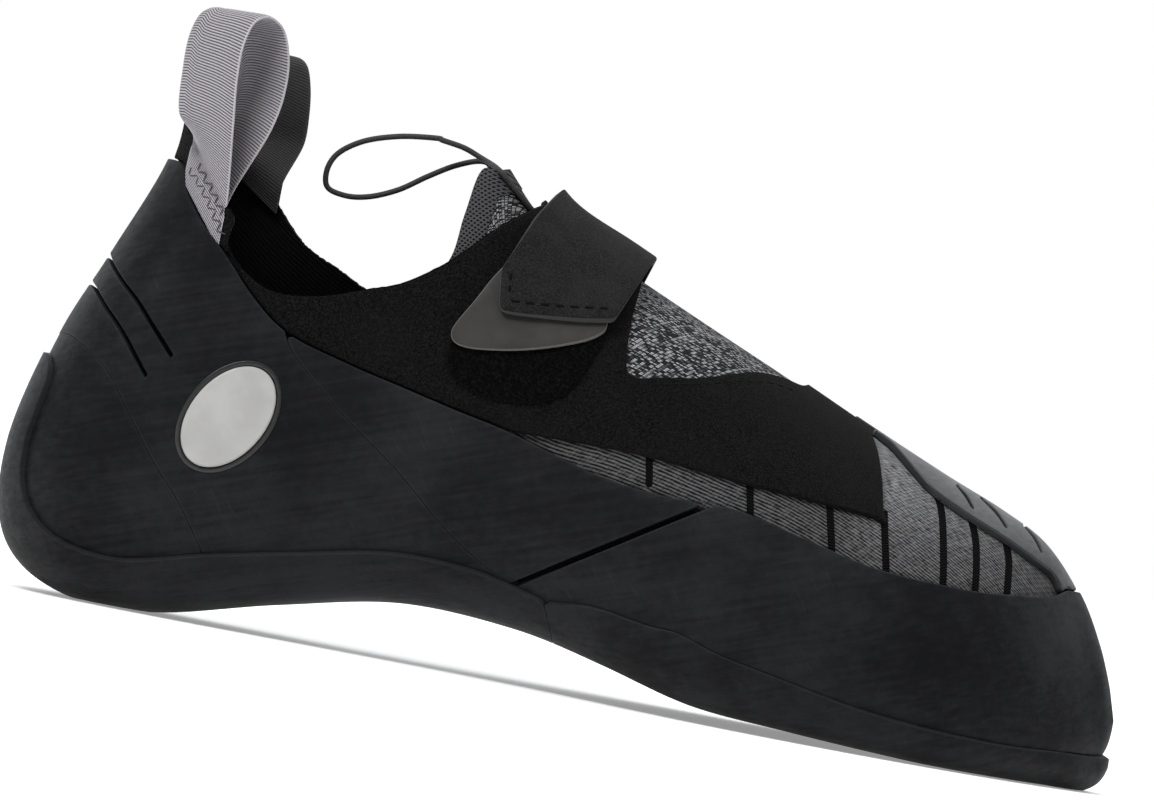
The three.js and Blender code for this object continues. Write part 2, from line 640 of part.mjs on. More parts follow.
addPiece('upper', buildUpper(), 'knit', 0.9);
addPiece('insole', buildInsole(), 'lining', 0.9);
addPiece('tongue', buildTongue(), 'knit', 0.9);
addPiece('quarter', buildQuarter(), 'suede', 0.95);
addPiece('heel_cup', buildHeelCup(), 'rubber', 0.6);
addPiece('heel_rand', buildHeelRand(), 'rubber', 0.6);
addPiece('side_rand_lateral', buildSideRand(-BEYOND, 0), 'rubber', 0.6);
addPiece('side_rand_medial', buildSideRand(0, BEYOND), 'rubber', 0.6);
addPiece('front_rand', buildFrontRand(), 'rubber', 0.6);
addPiece('toe_patch', buildToePatch(), 'rubber', 0.5);
addPiece('outsole_front', buildFrontSole(), 'rubber', 0.55);
addPiece('outsole_rear', buildRearSole(), 'rubber', 0.55);
addPiece('strap', buildStrap(), 'microfibre', 0.85);
addPiece('strap_pull_tab', onLateralSide(PULL_TAB_EDGE, pullTabInner, PULL_TAB), 'tab', 0.8);
addPiece('strap_loop_patch', onLateralSide(PILE_EDGE, pileInner, PILE), 'suede', 1);
addPiece('side_badge', buildBadge(), 'badge', 0.4);
addPiece('pull_loop_lateral', buildPullLoop({
  seat: LATERAL_SEAT,
  side: -1,
  outer: overlayInner + 2 * FIT + TAPE / 2,
  ...LATERAL_LOOP,
}), 'greyTape', 0.8);
addPiece('pull_loop_medial', buildPullLoop({
  seat: MEDIAL_SEAT,
  side: 1,
  outer: pileInner + 2 * FIT + TAPE / 2,
  ...MEDIAL_LOOP,
}), 'blackTape', 0.85);
addPiece('tongue_loop', buildTongueLoop(), 'blackTape', 0.85);

export default shoe;
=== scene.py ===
"""The climbing shoe's looks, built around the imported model. Lengths are in millimetres until a
mesh is made."""

import math

import bmesh
import bpy
import numpy as np
from mathutils import Matrix, Vector, kdtree
from mathutils.geometry import delaunay_2d_cdt


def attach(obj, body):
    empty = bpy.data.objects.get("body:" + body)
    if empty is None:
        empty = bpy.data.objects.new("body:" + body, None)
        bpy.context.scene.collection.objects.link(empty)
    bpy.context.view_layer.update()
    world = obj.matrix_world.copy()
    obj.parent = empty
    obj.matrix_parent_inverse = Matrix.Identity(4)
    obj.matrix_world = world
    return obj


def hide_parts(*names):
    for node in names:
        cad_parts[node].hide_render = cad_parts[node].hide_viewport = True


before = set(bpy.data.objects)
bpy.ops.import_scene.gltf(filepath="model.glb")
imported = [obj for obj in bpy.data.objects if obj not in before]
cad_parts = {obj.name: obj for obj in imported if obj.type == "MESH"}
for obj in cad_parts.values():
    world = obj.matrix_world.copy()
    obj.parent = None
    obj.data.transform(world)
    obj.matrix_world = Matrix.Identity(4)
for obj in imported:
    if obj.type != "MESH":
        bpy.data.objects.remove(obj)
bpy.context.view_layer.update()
MM = 0.001


def travelled(points):
    """The length along a line of points, from its start to each of them."""
    return np.concatenate([[0], np.cumsum(np.linalg.norm(np.diff(points, axis=0), axis=1))])


# The last, as in the part's source
LENGTH = 258.0
HEEL_HEIGHT = 112.0
INSTEP_HEIGHT = 104.0
BALL_WIDTH = 82.0
FIT = 0.3
UPPER_WALL = 1.5
SUEDE = 1.2
RAND = 2.0
TOE_RUBBER = 1.6
REAR_SOLE = 3.2
FRONT_SOLE = 4.2
INSOLE = 2.0
TONGUE = 1.6
PILE = 1.0
PULL_TAB = 1.0
STRAP = 2.0
BADGE = 0.6
TAPE_WIDTH = 19.0
TAPE = 1.2
RIB_PITCH = 0.64
OVERLAY_INNER = UPPER_WALL + FIT
RAND_OUTER = OVERLAY_INNER + RAND
SUEDE_OUTER = OVERLAY_INNER + SUEDE
PILE_INNER = SUEDE_OUTER + FIT
TAB_INNER = PILE_INNER + PILE + FIT
STRAP_LIFTED = TAB_INNER + PULL_TAB + FIT

# backX, backZ, ridgeX, ridgeZ, lateral, medial, soleY, ridgeY, waist, under, over
SECTIONS = np.array([
    [-1.2, 105.4, 13.2, 121.2, -26, 26, 0, 0, 0.55, 2.0, 2.4],
    [-1.4, 90.2, 14.3, 120.2, -29, 29, 0, 0, 0.50, 2.0, 2.4],
    [-4.9, 68.4, 15.9, 118.8, -33, 33, 0, 0, 0.42, 2.0, 2.4],
    [-7.9, 50.9, 17.4, 117.3, -35, 35, 0, 0, 0.36, 2.0, 2.4],
    [-10.1, 28.6, 18.8, 116.3, -36, 36, 0, 0, 0.30, 2.1, 2.4],
    [-9.1, 12.0, 20.0, 115.9, -37, 36, 0, 0, 0.25, 2.3, 2.4],
    [-4.3, 4.7, 20.9, 115.4, -37, 35, 0, 0, 0.22, 2.5, 2.4],
    [3.2, 4.5, 21.9, 115.2, -36, 34, 0, 0, 0.21, 2.6, 2.3],
    [13.6, 10.6, 23.1, 114.8, -35, 33, 0, 0, 0.21, 2.6, 2.2],
    [24.4, 15.8, 25.2, 113.5, -37, 34, -1, 0, 0.22, 2.6, 2.1],
    [34.9, 15.1, 31.0, 99.5, -42, 38, -1, 1, 0.25, 2.7, 2.0],
    [43.4, 11.5, 38.0, 91.7, -48, 43, -1, 4, 0.22, 4.0, 2.0],
    [51.6, 7.8, 46.1, 83.2, -52, 46, -1, 7, 0.20, 5.0, 2.0],
    [59.7, 6.6, 54.3, 74.8, -52, 47, 0, 11, 0.20, 6.0, 2.0],
    [67.8, 5.6, 62.0, 66.6, -45, 45, 4, 15, 0.22, 6.0, 2.0],
    [75.2, 4.9, 69.2, 59.3, -32, 43, 9, 18, 0.24, 6.0, 2.1],
    [80.6, 4.8, 74.8, 54.0, -16, 40, 13, 20, 0.26, 5.0, 2.2],
    [84.1, 5.3, 78.9, 48.8, -1, 36, 18, 21, 0.28, 4.0, 2.2],
    [85.9, 6.8, 82.4, 39.6, 10, 32, 21, 21, 0.30, 2.8, 2.2],
    [86.8, 10.0, 84.7, 30.2, 16, 27, 22, 22, 0.36, 2.4, 2.2],
    [87.0, 14.2, 86.1, 22.4, 21, 23, 22, 22, 0.45, 2.0, 2.0],
])
SECTIONS[:, [0, 2]] *= LENGTH / 100
SECTIONS[:, 1] *= HEEL_HEIGHT / 100
SECTIONS[:, 3] *= INSTEP_HEIGHT / 100
SECTIONS[:, 4:8] *= BALL_WIDTH / 100
LAST = len(SECTIONS) - 1.0
TIP = 0.12


def section(s):
    """The last's section values at stations s, one row each."""
    s = np.clip(np.asarray(s, float), 0, LAST)
    i = np.clip(np.floor(s).astype(int), 0, int(LAST) - 1)
    t = (s - i)[..., None]
    p0, p1, p2, p3 = (SECTIONS[np.clip(i + k, 0, int(LAST))] for k in (-1, 0, 1, 2))
    bend = (2 * p0 - 5 * p1 + 4 * p2 - p3) * t * t
    twist = (3 * p1 - 3 * p2 + p3 - p0) * t ** 3
    return 0.5 * (2 * p1 + (p2 - p0) * t + bend + twist)


def between(values, rise):
    """The places at shares of the rise from the back line to the ridge, in x and z."""
    return [values[..., k] + (values[..., k + 2] - values[..., k]) * rise for k in (0, 1)]


def outline_shares(values, turn):
    """Shares across and up of a section at turns from its bottom (0) to its ridge (pi)."""
    cos, sin = np.cos(turn), np.abs(np.sin(turn))
    power = 2 / np.where(cos > 0, values[..., 9], values[..., 10])
    along = np.abs(cos) ** power
    waist = values[..., 8]
    rise = np.where(cos > 0, waist * (1 - along), waist + (1 - waist) * along)
    return sin ** power, rise


GIRTH_STATIONS = 401
GIRTH_STEPS = 301


def girth_tables():
    """Shares across and up at equal steps of length around each half section."""
    stations = np.linspace(0, LAST, GIRTH_STATIONS)
    steps = np.linspace(0, 1, GIRTH_STEPS)
    quarter = (np.linspace(0, 1, 400) ** 3) * math.pi / 4
    turn = np.concatenate([quarter, math.pi / 2 - quarter[::-1][1:]])
    turn = np.concatenate([turn, math.pi - turn[::-1][1:]])
    values = section(stations)[:, None, :]
    across, rise = outline_shares(values, turn[None, :])
    tables = {}
    for side, column in ((-1, 4), (1, 5)):
        middle = np.where(np.cos(turn)[None, :] > 0, values[..., 6], values[..., 7])
        y = middle + (values[..., column] - middle) * across
        x, z = between(values, rise)
        step = np.sqrt(np.diff(x) ** 2 + np.diff(y) ** 2 + np.diff(z) ** 2)
        length = np.concatenate([np.zeros((len(stations), 1)), np.cumsum(step, 1)], 1)
        length /= length[:, -1:]
        a = np.array([np.interp(steps, row, v) for row, v in zip(length, y)])
        r = np.array([np.interp(steps, row, v) for row, v in zip(length, rise)])
        tables[side] = (a, r)
    return tables


GIRTH = girth_tables()


def look_up(table, s, w):
    """A table's value between its stations and its steps around."""
    fs = np.clip(s, 0, LAST) / LAST * (table.shape[0] - 1)
    fw = np.clip(w, 0, 1) * (table.shape[1] - 1)
    i = np.minimum(fs.astype(int), table.shape[0] - 2)
    j = np.minimum(fw.astype(int), table.shape[1] - 2)
    a, b = fs - i, fw - j
    return ((table[i, j] * (1 - a) + table[i + 1, j] * a) * (1 - b)
            + (table[i, j + 1] * (1 - a) + table[i + 1, j + 1] * a) * b)


def on_last(s, w, side):
    """Points of the last: w runs from its bottom line (0) to its ridge (1) on one side."""
    s, w, side = np.broadcast_arrays(np.asarray(s, float), np.asarray(w, float), np.asarray(side))
    values = section(s)
    y = np.where(side > 0, look_up(GIRTH[1][0], s, w), look_up(GIRTH[-1][0], s, w))
    rise = np.where(side > 0, look_up(GIRTH[1][1], s, w), look_up(GIRTH[-1][1], s, w))
    x, z = between(values, rise)
    return np.stack([x, y, z], -1)


# Charts: flat maps of the last that run on over its bottom line, its ridge or its toe. p is the
# station, and q goes around: below 0 on the lateral side, above 0 on the medial side.
def under_chart(p, q):
    return on_last(p, np.abs(q), np.where(q < 0, -1, 1))


def over_chart(p, q):
    return on_last(p, 1 - np.abs(q), np.where(q < 0, -1, 1))


def toe_chart(p, q):
    """Stations run on past the tip and back along the medial side, and q is up from the bottom."""
    lateral = on_last(np.minimum(p, LAST), q, -1)
    medial = on_last(np.minimum(2 * LAST + TIP - p, LAST), q, 1)
    share = np.clip((p - LAST) / TIP, 0, 1)[..., None]
    return lateral * (1 - share) + medial * share


def frame_at(chart, p, q):
    """Points, unit normals outwards and the two directions along the chart."""
    p = np.asarray(p, float)
    point = chart(p, q)
    reach = 0.03 + (0.17 * np.exp(-((p - LAST - TIP / 2) / 0.25) ** 2) if chart is toe_chart else 0 * p)
    along = (chart(p + reach, q) - chart(p - reach, q)) / (2 * reach[..., None])
    around = (chart(p, q + 0.004) - chart(p, q - 0.004)) / 0.008
    normal = np.cross(along, around)
    normal /= np.maximum(np.linalg.norm(normal, axis=-1, keepdims=True), 1e-9)
    station = np.clip(np.where(p > LAST, 2 * LAST + TIP - p, p), 0, LAST)
    values = section(station)
    core = np.stack([
        values[..., 0] * 0.55 + values[..., 2] * 0.45,
        (values[..., 4] + values[..., 5]) / 2,
        values[..., 1] * 0.55 + values[..., 3] * 0.45,
    ], -1)
    turned = np.sign(np.median(np.sum(normal * (point - core), -1)))
    return point, normal * turned, along, around


# Side view: edges are points of (station, share of the rise)
def side_points(edge):
    edge = np.asarray(edge, float)
    return np.stack(between(section(edge[:, 0]), edge[:, 1]), 1)


def spline(points, step=1.2):
    """A smooth line through points, with its own samples about step apart."""
    points = np.asarray(points, float)
    padded = np.vstack([2 * points[0] - points[1], points, 2 * points[-1] - points[-2]])
    line = []
    for p0, p1, p2, p3 in zip(padded, padded[1:], padded[2:], padded[3:]):
        knots = np.cumsum([0] + [max(np.linalg.norm(b - a), 1e-6) ** 0.5
                                 for a, b in ((p0, p1), (p1, p2), (p2, p3))])
        count = max(2, int(np.linalg.norm(p2 - p1) / step) + 1)
        t = np.linspace(knots[1], knots[2], count, endpoint=False)[:, None]
        t0, t1, t2, t3 = knots
        a1 = (t1 - t) / (t1 - t0) * p0 + (t - t0) / (t1 - t0) * p1
        a2 = (t2 - t) / (t2 - t1) * p1 + (t - t1) / (t2 - t1) * p2
        a3 = (t3 - t) / (t3 - t2) * p2 + (t - t2) / (t3 - t2) * p3
        b1 = (t2 - t) / (t2 - t0) * a1 + (t - t0) / (t2 - t0) * a2
        b2 = (t3 - t) / (t3 - t1) * a2 + (t - t1) / (t3 - t1) * a3
        line.append((t2 - t) / (t2 - t1) * b1 + (t - t1) / (t2 - t1) * b2)
    return np.vstack(line + [points[-1:]])


def curve(edge):
    return spline(side_points(edge))


FAR = 600.0


def flat_side(line, end):
    """All that lies under a line that runs forwards (end -FAR), or over it (end FAR)."""
    return np.vstack([[-FAR, line[0, 1]], line, [FAR, line[-1, 1]], [FAR, end], [-FAR, end]])


def upright_side(line, end):
    """All that lies behind a line that runs downwards (end -FAR), or in front of it (end FAR)."""
    return np.vstack([[line[0, 0], FAR], line, [line[-1, 0], -FAR], [end, -FAR], [end, FAR]])


def closed(outline):
    return np.vstack([outline, outline[:1]])


def near_line(line, x, z):
    """How far points are from an open line."""
    best = np.full(x.shape, 1e9)
    for (ax, az), (bx, bz) in zip(line, line[1:]):
        dx, dz = bx - ax, bz - az
        size = max(dx * dx + dz * dz, 1e-12)
        t = np.clip(((x - ax) * dx + (z - az) * dz) / size, 0, 1)
        best = np.minimum(best, (x - ax - t * dx) ** 2 + (z - az - t * dz) ** 2)
    return np.sqrt(best)


def inside_loops(points, loops):
    x, y = points[..., 0], points[..., 1]
    inside = np.zeros(x.shape, bool)
    for loop in loops:
        ring = closed(loop)
        for (ax, ay), (bx, by) in zip(ring, ring[1:]):
            if ay != by:
                crosses = (ay > y) != (by > y)
                inside ^= crosses & (x < ax + (y - ay) / (by - ay) * (bx - ax))
    return inside


def depth_in(outline, x, z):
    """How far points lie inside an outline, negative outside."""
    inside = inside_loops(np.stack([x, z], -1), [outline])
    return near_line(closed(outline), x, z) * np.where(inside, 1, -1)


def loops_of(f):
    """Closed lines where the grid f crosses zero, as grid coordinates."""
    f = np.where(f == 0, 1e-9, f)
    positive = f > 0
    mixed = positive[:-1, :-1].astype(int) + positive[1:, :-1] + positive[:-1, 1:] + positive[1:, 1:]
    follows = {}

    def crossing(a, b):
        va, vb = f[a], f[b]
        t = va / (va - vb)
        return (a[0] + (b[0] - a[0]) * t, a[1] + (b[1] - a[1]) * t)

    where = {}
    for i, j in np.argwhere((mixed > 0) & (mixed < 4)):
        ring = [(i, j), (i + 1, j), (i + 1, j + 1), (i, j + 1)]
        starts, ends = [], []
        for a, b in zip(ring, ring[1:] + ring[:1]):
            if positive[a] != positive[b]:
                key = (min(a, b), max(a, b))
                where[key] = crossing(*key)
                (ends if positive[a] else starts).append(key)
        if len(starts) == 2 and f[i:i + 2, j:j + 2].mean() > 0:
            starts.reverse()
        for a, b in zip(ends, starts):
            follows[a] = b
    loops = []
    while follows:
        first, key = follows.popitem()
        loop = [first]
        while key != first and key in follows:
            loop.append(key)
            key = follows.pop(key)
        if len(loop) > 8:
            loops.append(np.array([where[k] for k in loop]))
    return loops


# A station's usual length along the shoe, and half a section's usual length around
CELL = 12.9
GIRTH_MM = 105.0
SCALE = np.array([CELL, GIRTH_MM])


def resampled(loop, place, step):
    """A closed line with points at equal steps of its length in space."""
    for _ in range(2):
        loop = (np.roll(loop, 1, 0) + 2 * loop + np.roll(loop, -1, 0)) / 4
    ring = closed(loop)
    space = place(ring)
    length = travelled(space)
    count = max(8, int(length[-1] / step))
    wanted = np.linspace(0, length[-1], count, endpoint=False)
    return np.stack([np.interp(wanted, length, ring[:, k]) for k in (0, 1)], 1)


def triangles_in(points, loops):
    """Triangles between points, inside closed lines that are the first points."""
    edges = []
    start = 0
    for loop in loops:
        n = len(loop)
        edges += [(start + i, start + (i + 1) % n) for i in range(n)]
        start += n
    flat = points * SCALE
    out = delaunay_2d_cdt([Vector(p) for p in flat], edges, [], 0, 1e-7)
    origin = np.array([o[0] if o else -1 for o in out[3]])
    faces = np.array(out[2])
    places = np.array([tuple(v) for v in out[0]])
    middle = places[faces].mean(1)
    keep = inside_loops(middle, [loop * SCALE for loop in loops])
    faces = origin[faces[keep]]
    return faces[(faces >= 0).all(1)]


run_stations = np.linspace(0, LAST, 400)
run_points = frame_at(over_chart, run_stations, np.zeros(400))[0]
RUN = travelled(run_points)


def cloth_place(chart, p, q, from_ridge=False):
    """Where a place lies on the cloth in millimetres: along the ridge, and around."""
    girth = np.linalg.norm(frame_at(chart, p, q)[3], axis=-1)
    around = np.sign(q) * (np.abs(q) - 1) if from_ridge else q
    return np.stack([np.interp(p, run_stations, RUN), around * girth, np.zeros_like(p)], -1)


def add_mesh(name, vertices, faces, values=None, smooth_angle=50):
    """An object of its vertices in millimetres, its faces and its point values."""
    mesh = bpy.data.meshes.new(name)
    mesh.from_pydata((np.asarray(vertices) * MM).tolist(), [], [list(map(int, f)) for f in faces])
    mesh.validate()
    mesh.shade_smooth()
    mesh.set_sharp_from_angle(angle=math.radians(smooth_angle))
    for key, value in (values or {}).items():
        value = np.asarray(value, np.float32)
        if value.ndim == 1:
            mesh.attributes.new(key, "FLOAT", "POINT").data.foreach_set("value", value)
        else:
            mesh.attributes.new(key, "FLOAT_VECTOR", "POINT").data.foreach_set("vector", value.ravel())
    piece = bpy.data.objects.new(name, mesh)
    bpy.context.scene.collection.objects.link(piece)
    return piece


def shell(name, chart, window, region, inner, outer, rounding=0.5, step=1.1, edge_step=0.9,
          relief=None, floor=False, cell=0.55, crisp=None, marks=None):
    """One layer over the last: where region is above 0 in the window of the chart.
    crisp gives the share of the rounding at a place, and marks name more point values."""
    (p0, p1), (q0, q1) = window
    p = np.arange(p0, p1, cell / CELL)
    q = np.arange(q0, q1, cell / GIRTH_MM)
    pp, qq = np.meshgrid(p, q, indexing="ij")
    high = outer if callable(outer) else (lambda *_: outer)
    low = inner if callable(inner) else (lambda *_: inner)

    def placed(uv, offset):
        point, normal, _, _ = frame_at(chart, uv[..., 0], uv[..., 1])
        space = point + normal * np.asarray(offset(point, normal, uv))[..., None]
        if floor:
            space[..., 2] = np.maximum(space[..., 2], 0)
        return space

    grid = np.stack([pp, qq], -1)
    point, normal, _, _ = frame_at(chart, pp, qq)
    space = point + normal * np.broadcast_to(np.asarray(high(point, normal, grid)), pp.shape)[..., None]
    f = region(space[..., 0], space[..., 1], space[..., 2], grid)
    f[[0, -1], :] = -1
    f[:, [0, -1]] = -1

    def wide(offset):
        return lambda a, b, c: np.broadcast_to(np.asarray(offset(a, b, c), float), a.shape[:-1])

    high, low = wide(high), wide(low)
    corner, size = np.array([p0, q0]), np.array([cell / CELL, cell / GIRTH_MM])
    loops = []
    for loop in loops_of(f):
        loop = corner + loop * size
        loop = resampled(loop, lambda uv: placed(uv, high), edge_step)
        if len(loop) > 12:
            loops.append(loop)
    if not loops:
        raise RuntimeError(f"{name} has no outline")
    rim = np.vstack(loops)
    rim_space = placed(rim, high)
    tree = kdtree.KDTree(len(rim) * 2)
    following = np.vstack([np.roll(placed(loop, high), -1, 0) for loop in loops])
    for i, (a, b) in enumerate(zip(rim_space, following)):
        tree.insert(a, 2 * i)
        tree.insert((a + b) / 2, 2 * i + 1)
    tree.balance()

    # Rings at fixed distances inside the rim carry its rounding
    _, _, along, around = frame_at(chart, rim[:, 0], rim[:, 1])
    metric = np.stack([
        np.stack([np.sum(along * along, -1), np.sum(along * around, -1)], -1),
        np.stack([np.sum(along * around, -1), np.sum(around * around, -1)], -1),
    ], -2)
    tangent = np.vstack([np.roll(loop, -1, 0) - np.roll(loop, 1, 0) for loop in loops])
    across = np.stack([-tangent[:, 1], tangent[:, 0]], -1)
    inwards = np.linalg.solve(metric, across[..., None])[..., 0]
    inwards /= np.sqrt(np.einsum("ni,nij,nj->n", inwards, metric, inwards))[:, None]
    probe = rim + inwards * 0.05
    if inside_loops(probe[::7], loops).mean() < 0.5:
        inwards = -inwards
    distances = [rounding * k for k in (0.08, 0.3, 0.65, 1.05)]
    chosen, depth = [rim], [np.zeros(len(rim))]
    for distance in distances:
        ring = rim + inwards * distance
        reached = np.array([tree.find(v)[2] for v in placed(ring, high)])
        good = (reached > distance * 0.8) & inside_loops(ring, loops)
        chosen.append(ring[good])
        depth.append(reached[good])

    def filling(spacing, clear):
        rows = []
        for k, b in enumerate(np.arange(q0, q1, spacing * 0.87 / GIRTH_MM)):
            a = np.arange(p0 + (k % 2) * spacing / 2 / CELL, p1, spacing / CELL)
            rows.append(np.stack([a, np.full(len(a), b)], 1))
        fill = np.vstack(rows)
        at = (fill - corner) / size
        i = np.clip(at.astype(int), 0, np.array(f.shape) - 2)
        near = np.maximum.reduce([f[i[:, 0] + a, i[:, 1] + b] for a in (0, 1) for b in (0, 1)])
        fill = fill[near > 0]
        fill = fill[inside_loops(fill, loops)]
        reach = np.array([tree.find(v)[2] for v in placed(fill, high)])
        return fill[reach > clear], reach[reach > clear]

    fill, reach = filling(step, distances[-1] + step * 0.4)
    uv = np.vstack(chosen + [fill])
    d = np.concatenate(depth + [reach])
    top_faces = triangles_in(uv, loops)
    radius = np.full(len(uv), rounding)
    if crisp:
        bare = placed(uv, high)
        radius = rounding * crisp(bare[:, 0], bare[:, 2])
    roll = np.clip(radius - d, 0, radius)
    drop = radius - np.sqrt(np.maximum(radius ** 2 - roll ** 2, 0))
    lift = relief if relief else (lambda *_: 0.0)

    def top(point, normal, grid):
        return high(point, normal, grid) - drop + lift(point, normal, grid)

    top_space = placed(uv, top)
    coarse, coarse_reach = filling(3.2, 2.0)
    uv_in = np.vstack([rim, coarse])
    inner_faces = triangles_in(uv_in, loops)
    low_space = placed(uv_in, low)
    n, m = len(top_space), len(low_space)
    point, normal, _, _ = frame_at(chart, uv[:, 0], uv[:, 1])
    a, b, c = (top_space[top_faces[:, k]] for k in range(3))
    way = np.sign(np.median(np.sum(np.cross(b - a, c - a) * normal[top_faces[:, 0]], -1)))
    if way < 0:
        top_faces = top_faces[:, ::-1]
        inner_faces = inner_faces[:, ::-1]
    faces = top_faces.tolist() + (inner_faces[:, ::-1] + n).tolist()
    start = 0
    for loop in loops:
        k = len(loop)
        for i in range(k):
            a, b = start + i, start + (i + 1) % k
            quad = [a, b, n + b, n + a]
            faces.append(quad)
        start += k
    rim_edges = {(int(f[i]), int(f[(i + 1) % 3])) for f in top_faces for i in range(3)}
    fixed = []
    for face in faces:
        if len(face) == 4 and (face[0], face[1]) in rim_edges:
            face = face[::-1]
        fixed.append(face)
    vertices = np.vstack([top_space, low_space])
    both = np.vstack([uv, uv_in])
    values = {
        "edge": np.concatenate([d, np.zeros(len(rim)), coarse_reach]),
        "inside": np.concatenate([np.zeros(n + len(rim)), np.ones(m - len(rim))]),
        "flat": cloth_place(chart, both[:, 0], both[:, 1]),
    }
    for key, value in (marks or {}).items():
        values[key] = value(vertices[:, 0], vertices[:, 1], vertices[:, 2])
    return add_mesh(name, vertices, fixed, values)


# Edges, as in the part's source
COLLAR_LATERAL = [
    [0.7, 0.06], [1.1, 0.11], [1.85, 0.34], [2.7, 0.47], [3.3, 0.486], [4.33, 0.562], [5.24, 0.598],
    [6.38, 0.631], [7.37, 0.656], [7.87, 0.664], [8.66, 0.714], [9.32, 0.854], [9.92, 1.035],
]
COLLAR_MEDIAL = [
    [0.55, 0.13], [1.25, 0.34], [2.06, 0.513], [3.28, 0.617], [4.63, 0.679], [6.0, 0.691],
    [7.37, 0.652], [7.87, 0.657], [8.66, 0.705], [9.32, 0.85], [9.92, 1.035],
]
RAND_TOP = [
    [0.84, -0.12], [1.0, 0.0], [1.47, 0.145], [2.25, 0.335], [3.22, 0.462], [5.01, 0.567],
    [6.24, 0.553], [7.66, 0.495], [8.47, 0.442], [9.16, 0.411], [9.75, 0.429], [10.33, 0.434],
    [10.93, 0.44], [11.52, 0.474], [12.05, 0.512], [12.33, 0.537], [13.14, 0.548], [13.97, 0.56],
    [14.88, 0.618], [15.52, 0.664], [16.33, 0.737], [17.38, 0.883], [18.0, 1.1],
]
TENSION_SEAM = [[5.0, 0.70], [6.24, 0.553], [7.72, 0.41], [8.74, 0.25], [9.31, 0.136], [9.87, 0.052]]
GROOVE = [[9.87, 0.052], [10.39, 0.161], [11.07, 0.3], [11.64, 0.426], [12.07, 0.522], [12.5, 0.62]]
HEEL_CUP_EDGE = [
    [2.61, -0.13], [2.8, -0.045], [3.79, 0.191], [4.86, 0.271], [5.98, 0.243], [6.6, 0.195],
    [7.29, 0.078],
]
SOLE_EDGE = [
    [2.91, -0.09], [3.22, -0.03], [3.95, -0.001], [4.44, 0.011], [4.92, 0.029], [5.51, 0.042],
    [6.39, 0.055], [7.31, 0.078], [8.09, 0.068], [8.92, 0.063], [9.62, 0.059], [9.87, 0.052],
    [10.25, 0.041], [10.74, 0.082], [11.41, 0.101], [11.71, 0.117], [12.13, 0.102], [12.81, 0.082],
    [13.72, 0.05], [14.47, 0.04], [15.61, 0.042], [16.97, 0.05],
]
FRONT_SOLE_BACK = [[10.21, 0.06], [10.35, -0.055], [10.42, -0.2]]
SUEDE_LOW = [[9.75, 0.429], [10.5, 0.49], [11.28, 0.55], [12.44, 0.625], [13.5, 0.7], [14.19, 0.752]]
TONGUE_EDGE = [[8.0, 0.60], [8.64, 0.721], [8.69, 0.829], [8.86, 0.943], [9.16, 0.969], [9.45, 1.03]]
TONGUE_BOTTOM = [[12.2, 1.2], [11.6, 0.78]]
ELASTIC_WIDTH = 6.1
STRAP_MEDIAL = [
    [12.1, 1.45], [11.49, 1.133], [11.23, 0.977], [10.91, 0.75], [10.75, 0.56], [9.6, 0.56],
    [9.55, 0.75], [9.75, 0.95], [10.23, 1.131], [10.8, 1.45],
]
BADGE_CENTRE = [6.45, 0.37]
BADGE_LENGTH = 26.0
BADGE_HEIGHT = 17.0
LATERAL_LOOP = {
    "seat": [[1.17, 0.06], [3.1, 0.45]], "height": 37.5, "opening": 13, "facing": 47, "lean": -0.09,
    "lifts": [-1.5, 4, 9],
}
MEDIAL_LOOP = {
    "seat": [[1.35, 0.29], [3.1, 0.59]], "height": 28.5, "opening": 6.5, "facing": 40, "lean": -0.16,
    "lifts": [-5, 0, 6],
}

# The tongue's loop: sewn on laterally, rising, free as (station, rise, share of the width), and
# back under on the medial side
LOOP_SEWN = [[77.2, 104.6], [73.4, 107.6], [69.8, 110.6], [67.3, 112.7]]
LOOP_RISING = [[61.9, 0.6, 115.3], [58.0, 0.8, 116.7], [52.3, 0.9, 117.6]]
LOOP_UNDER = [[65.6, 112.4], [68.0, 110.4]]
LOOP_FREE = [
    [5.92, 0.98, 2], [3.66, 0.942, 3], [2.71, 0.851, 4], [2.6, 0.773, 5], [2.99, 0.745, 5],
    [3.5, 0.75, 6], [4.25, 0.79, 6], [5.01, 0.825, 7], [5.94, 0.865, 7], [6.8, 0.905, 7],
    [7.73, 0.935, 8], [8.6, 0.951, 9], [8.87, 0.957, 10],
]
LOOP_PROFILE = [
    [-0.16, 0.35], [-0.18, 0.6], [-0.1, 0.82], [0.12, 0.96], [0.42, 1.0], [0.75, 0.95], [0.95, 0.78],
    [0.92, 0.56], [0.7, 0.34],
]

# Edges in the side view in millimetres, measured where their own layer shows
SUEDE_TIP = [
    [170.3, 49.5], [166.7, 53.1], [164.8, 60.8], [162.8, 67.3], [160.6, 71.6], [158.5, 76], [157, 90],
]
WINDOW = [
    [146.5, 110], [147.0, 84], [146.2, 80.2], [143.6, 78.6], [139.2, 79.4], [133.4, 79.6],
    [126.8, 78.0], [120.3, 75.8], [111.4, 74.2], [105.6, 73.0], [103.8, 73.9], [102.9, 78.7],
    [102.7, 85.6], [103.2, 92.7], [104, 110],
]
STRAP_OUTLINE = [
    [87.0, 122.9], [82.6, 112.9], [77.7, 105.0], [71.8, 91.2], [73.0, 82.0], [77.6, 82.1], [82.1, 82.6],
    [91.1, 83.6], [98.9, 85.1], [106.2, 102.2], [110.6, 112.2],
]
TAB_OUTLINE = [
    [80.0, 101.0], [71.7, 91.2], [67.2, 83.0], [63.3, 75.2], [63.9, 73.3], [66.8, 72.4], [70.7, 72.6],
    [79.1, 74.1], [87.8, 76.8], [95.2, 80.2], [97.5, 82.6], [96.0, 88.0],
]
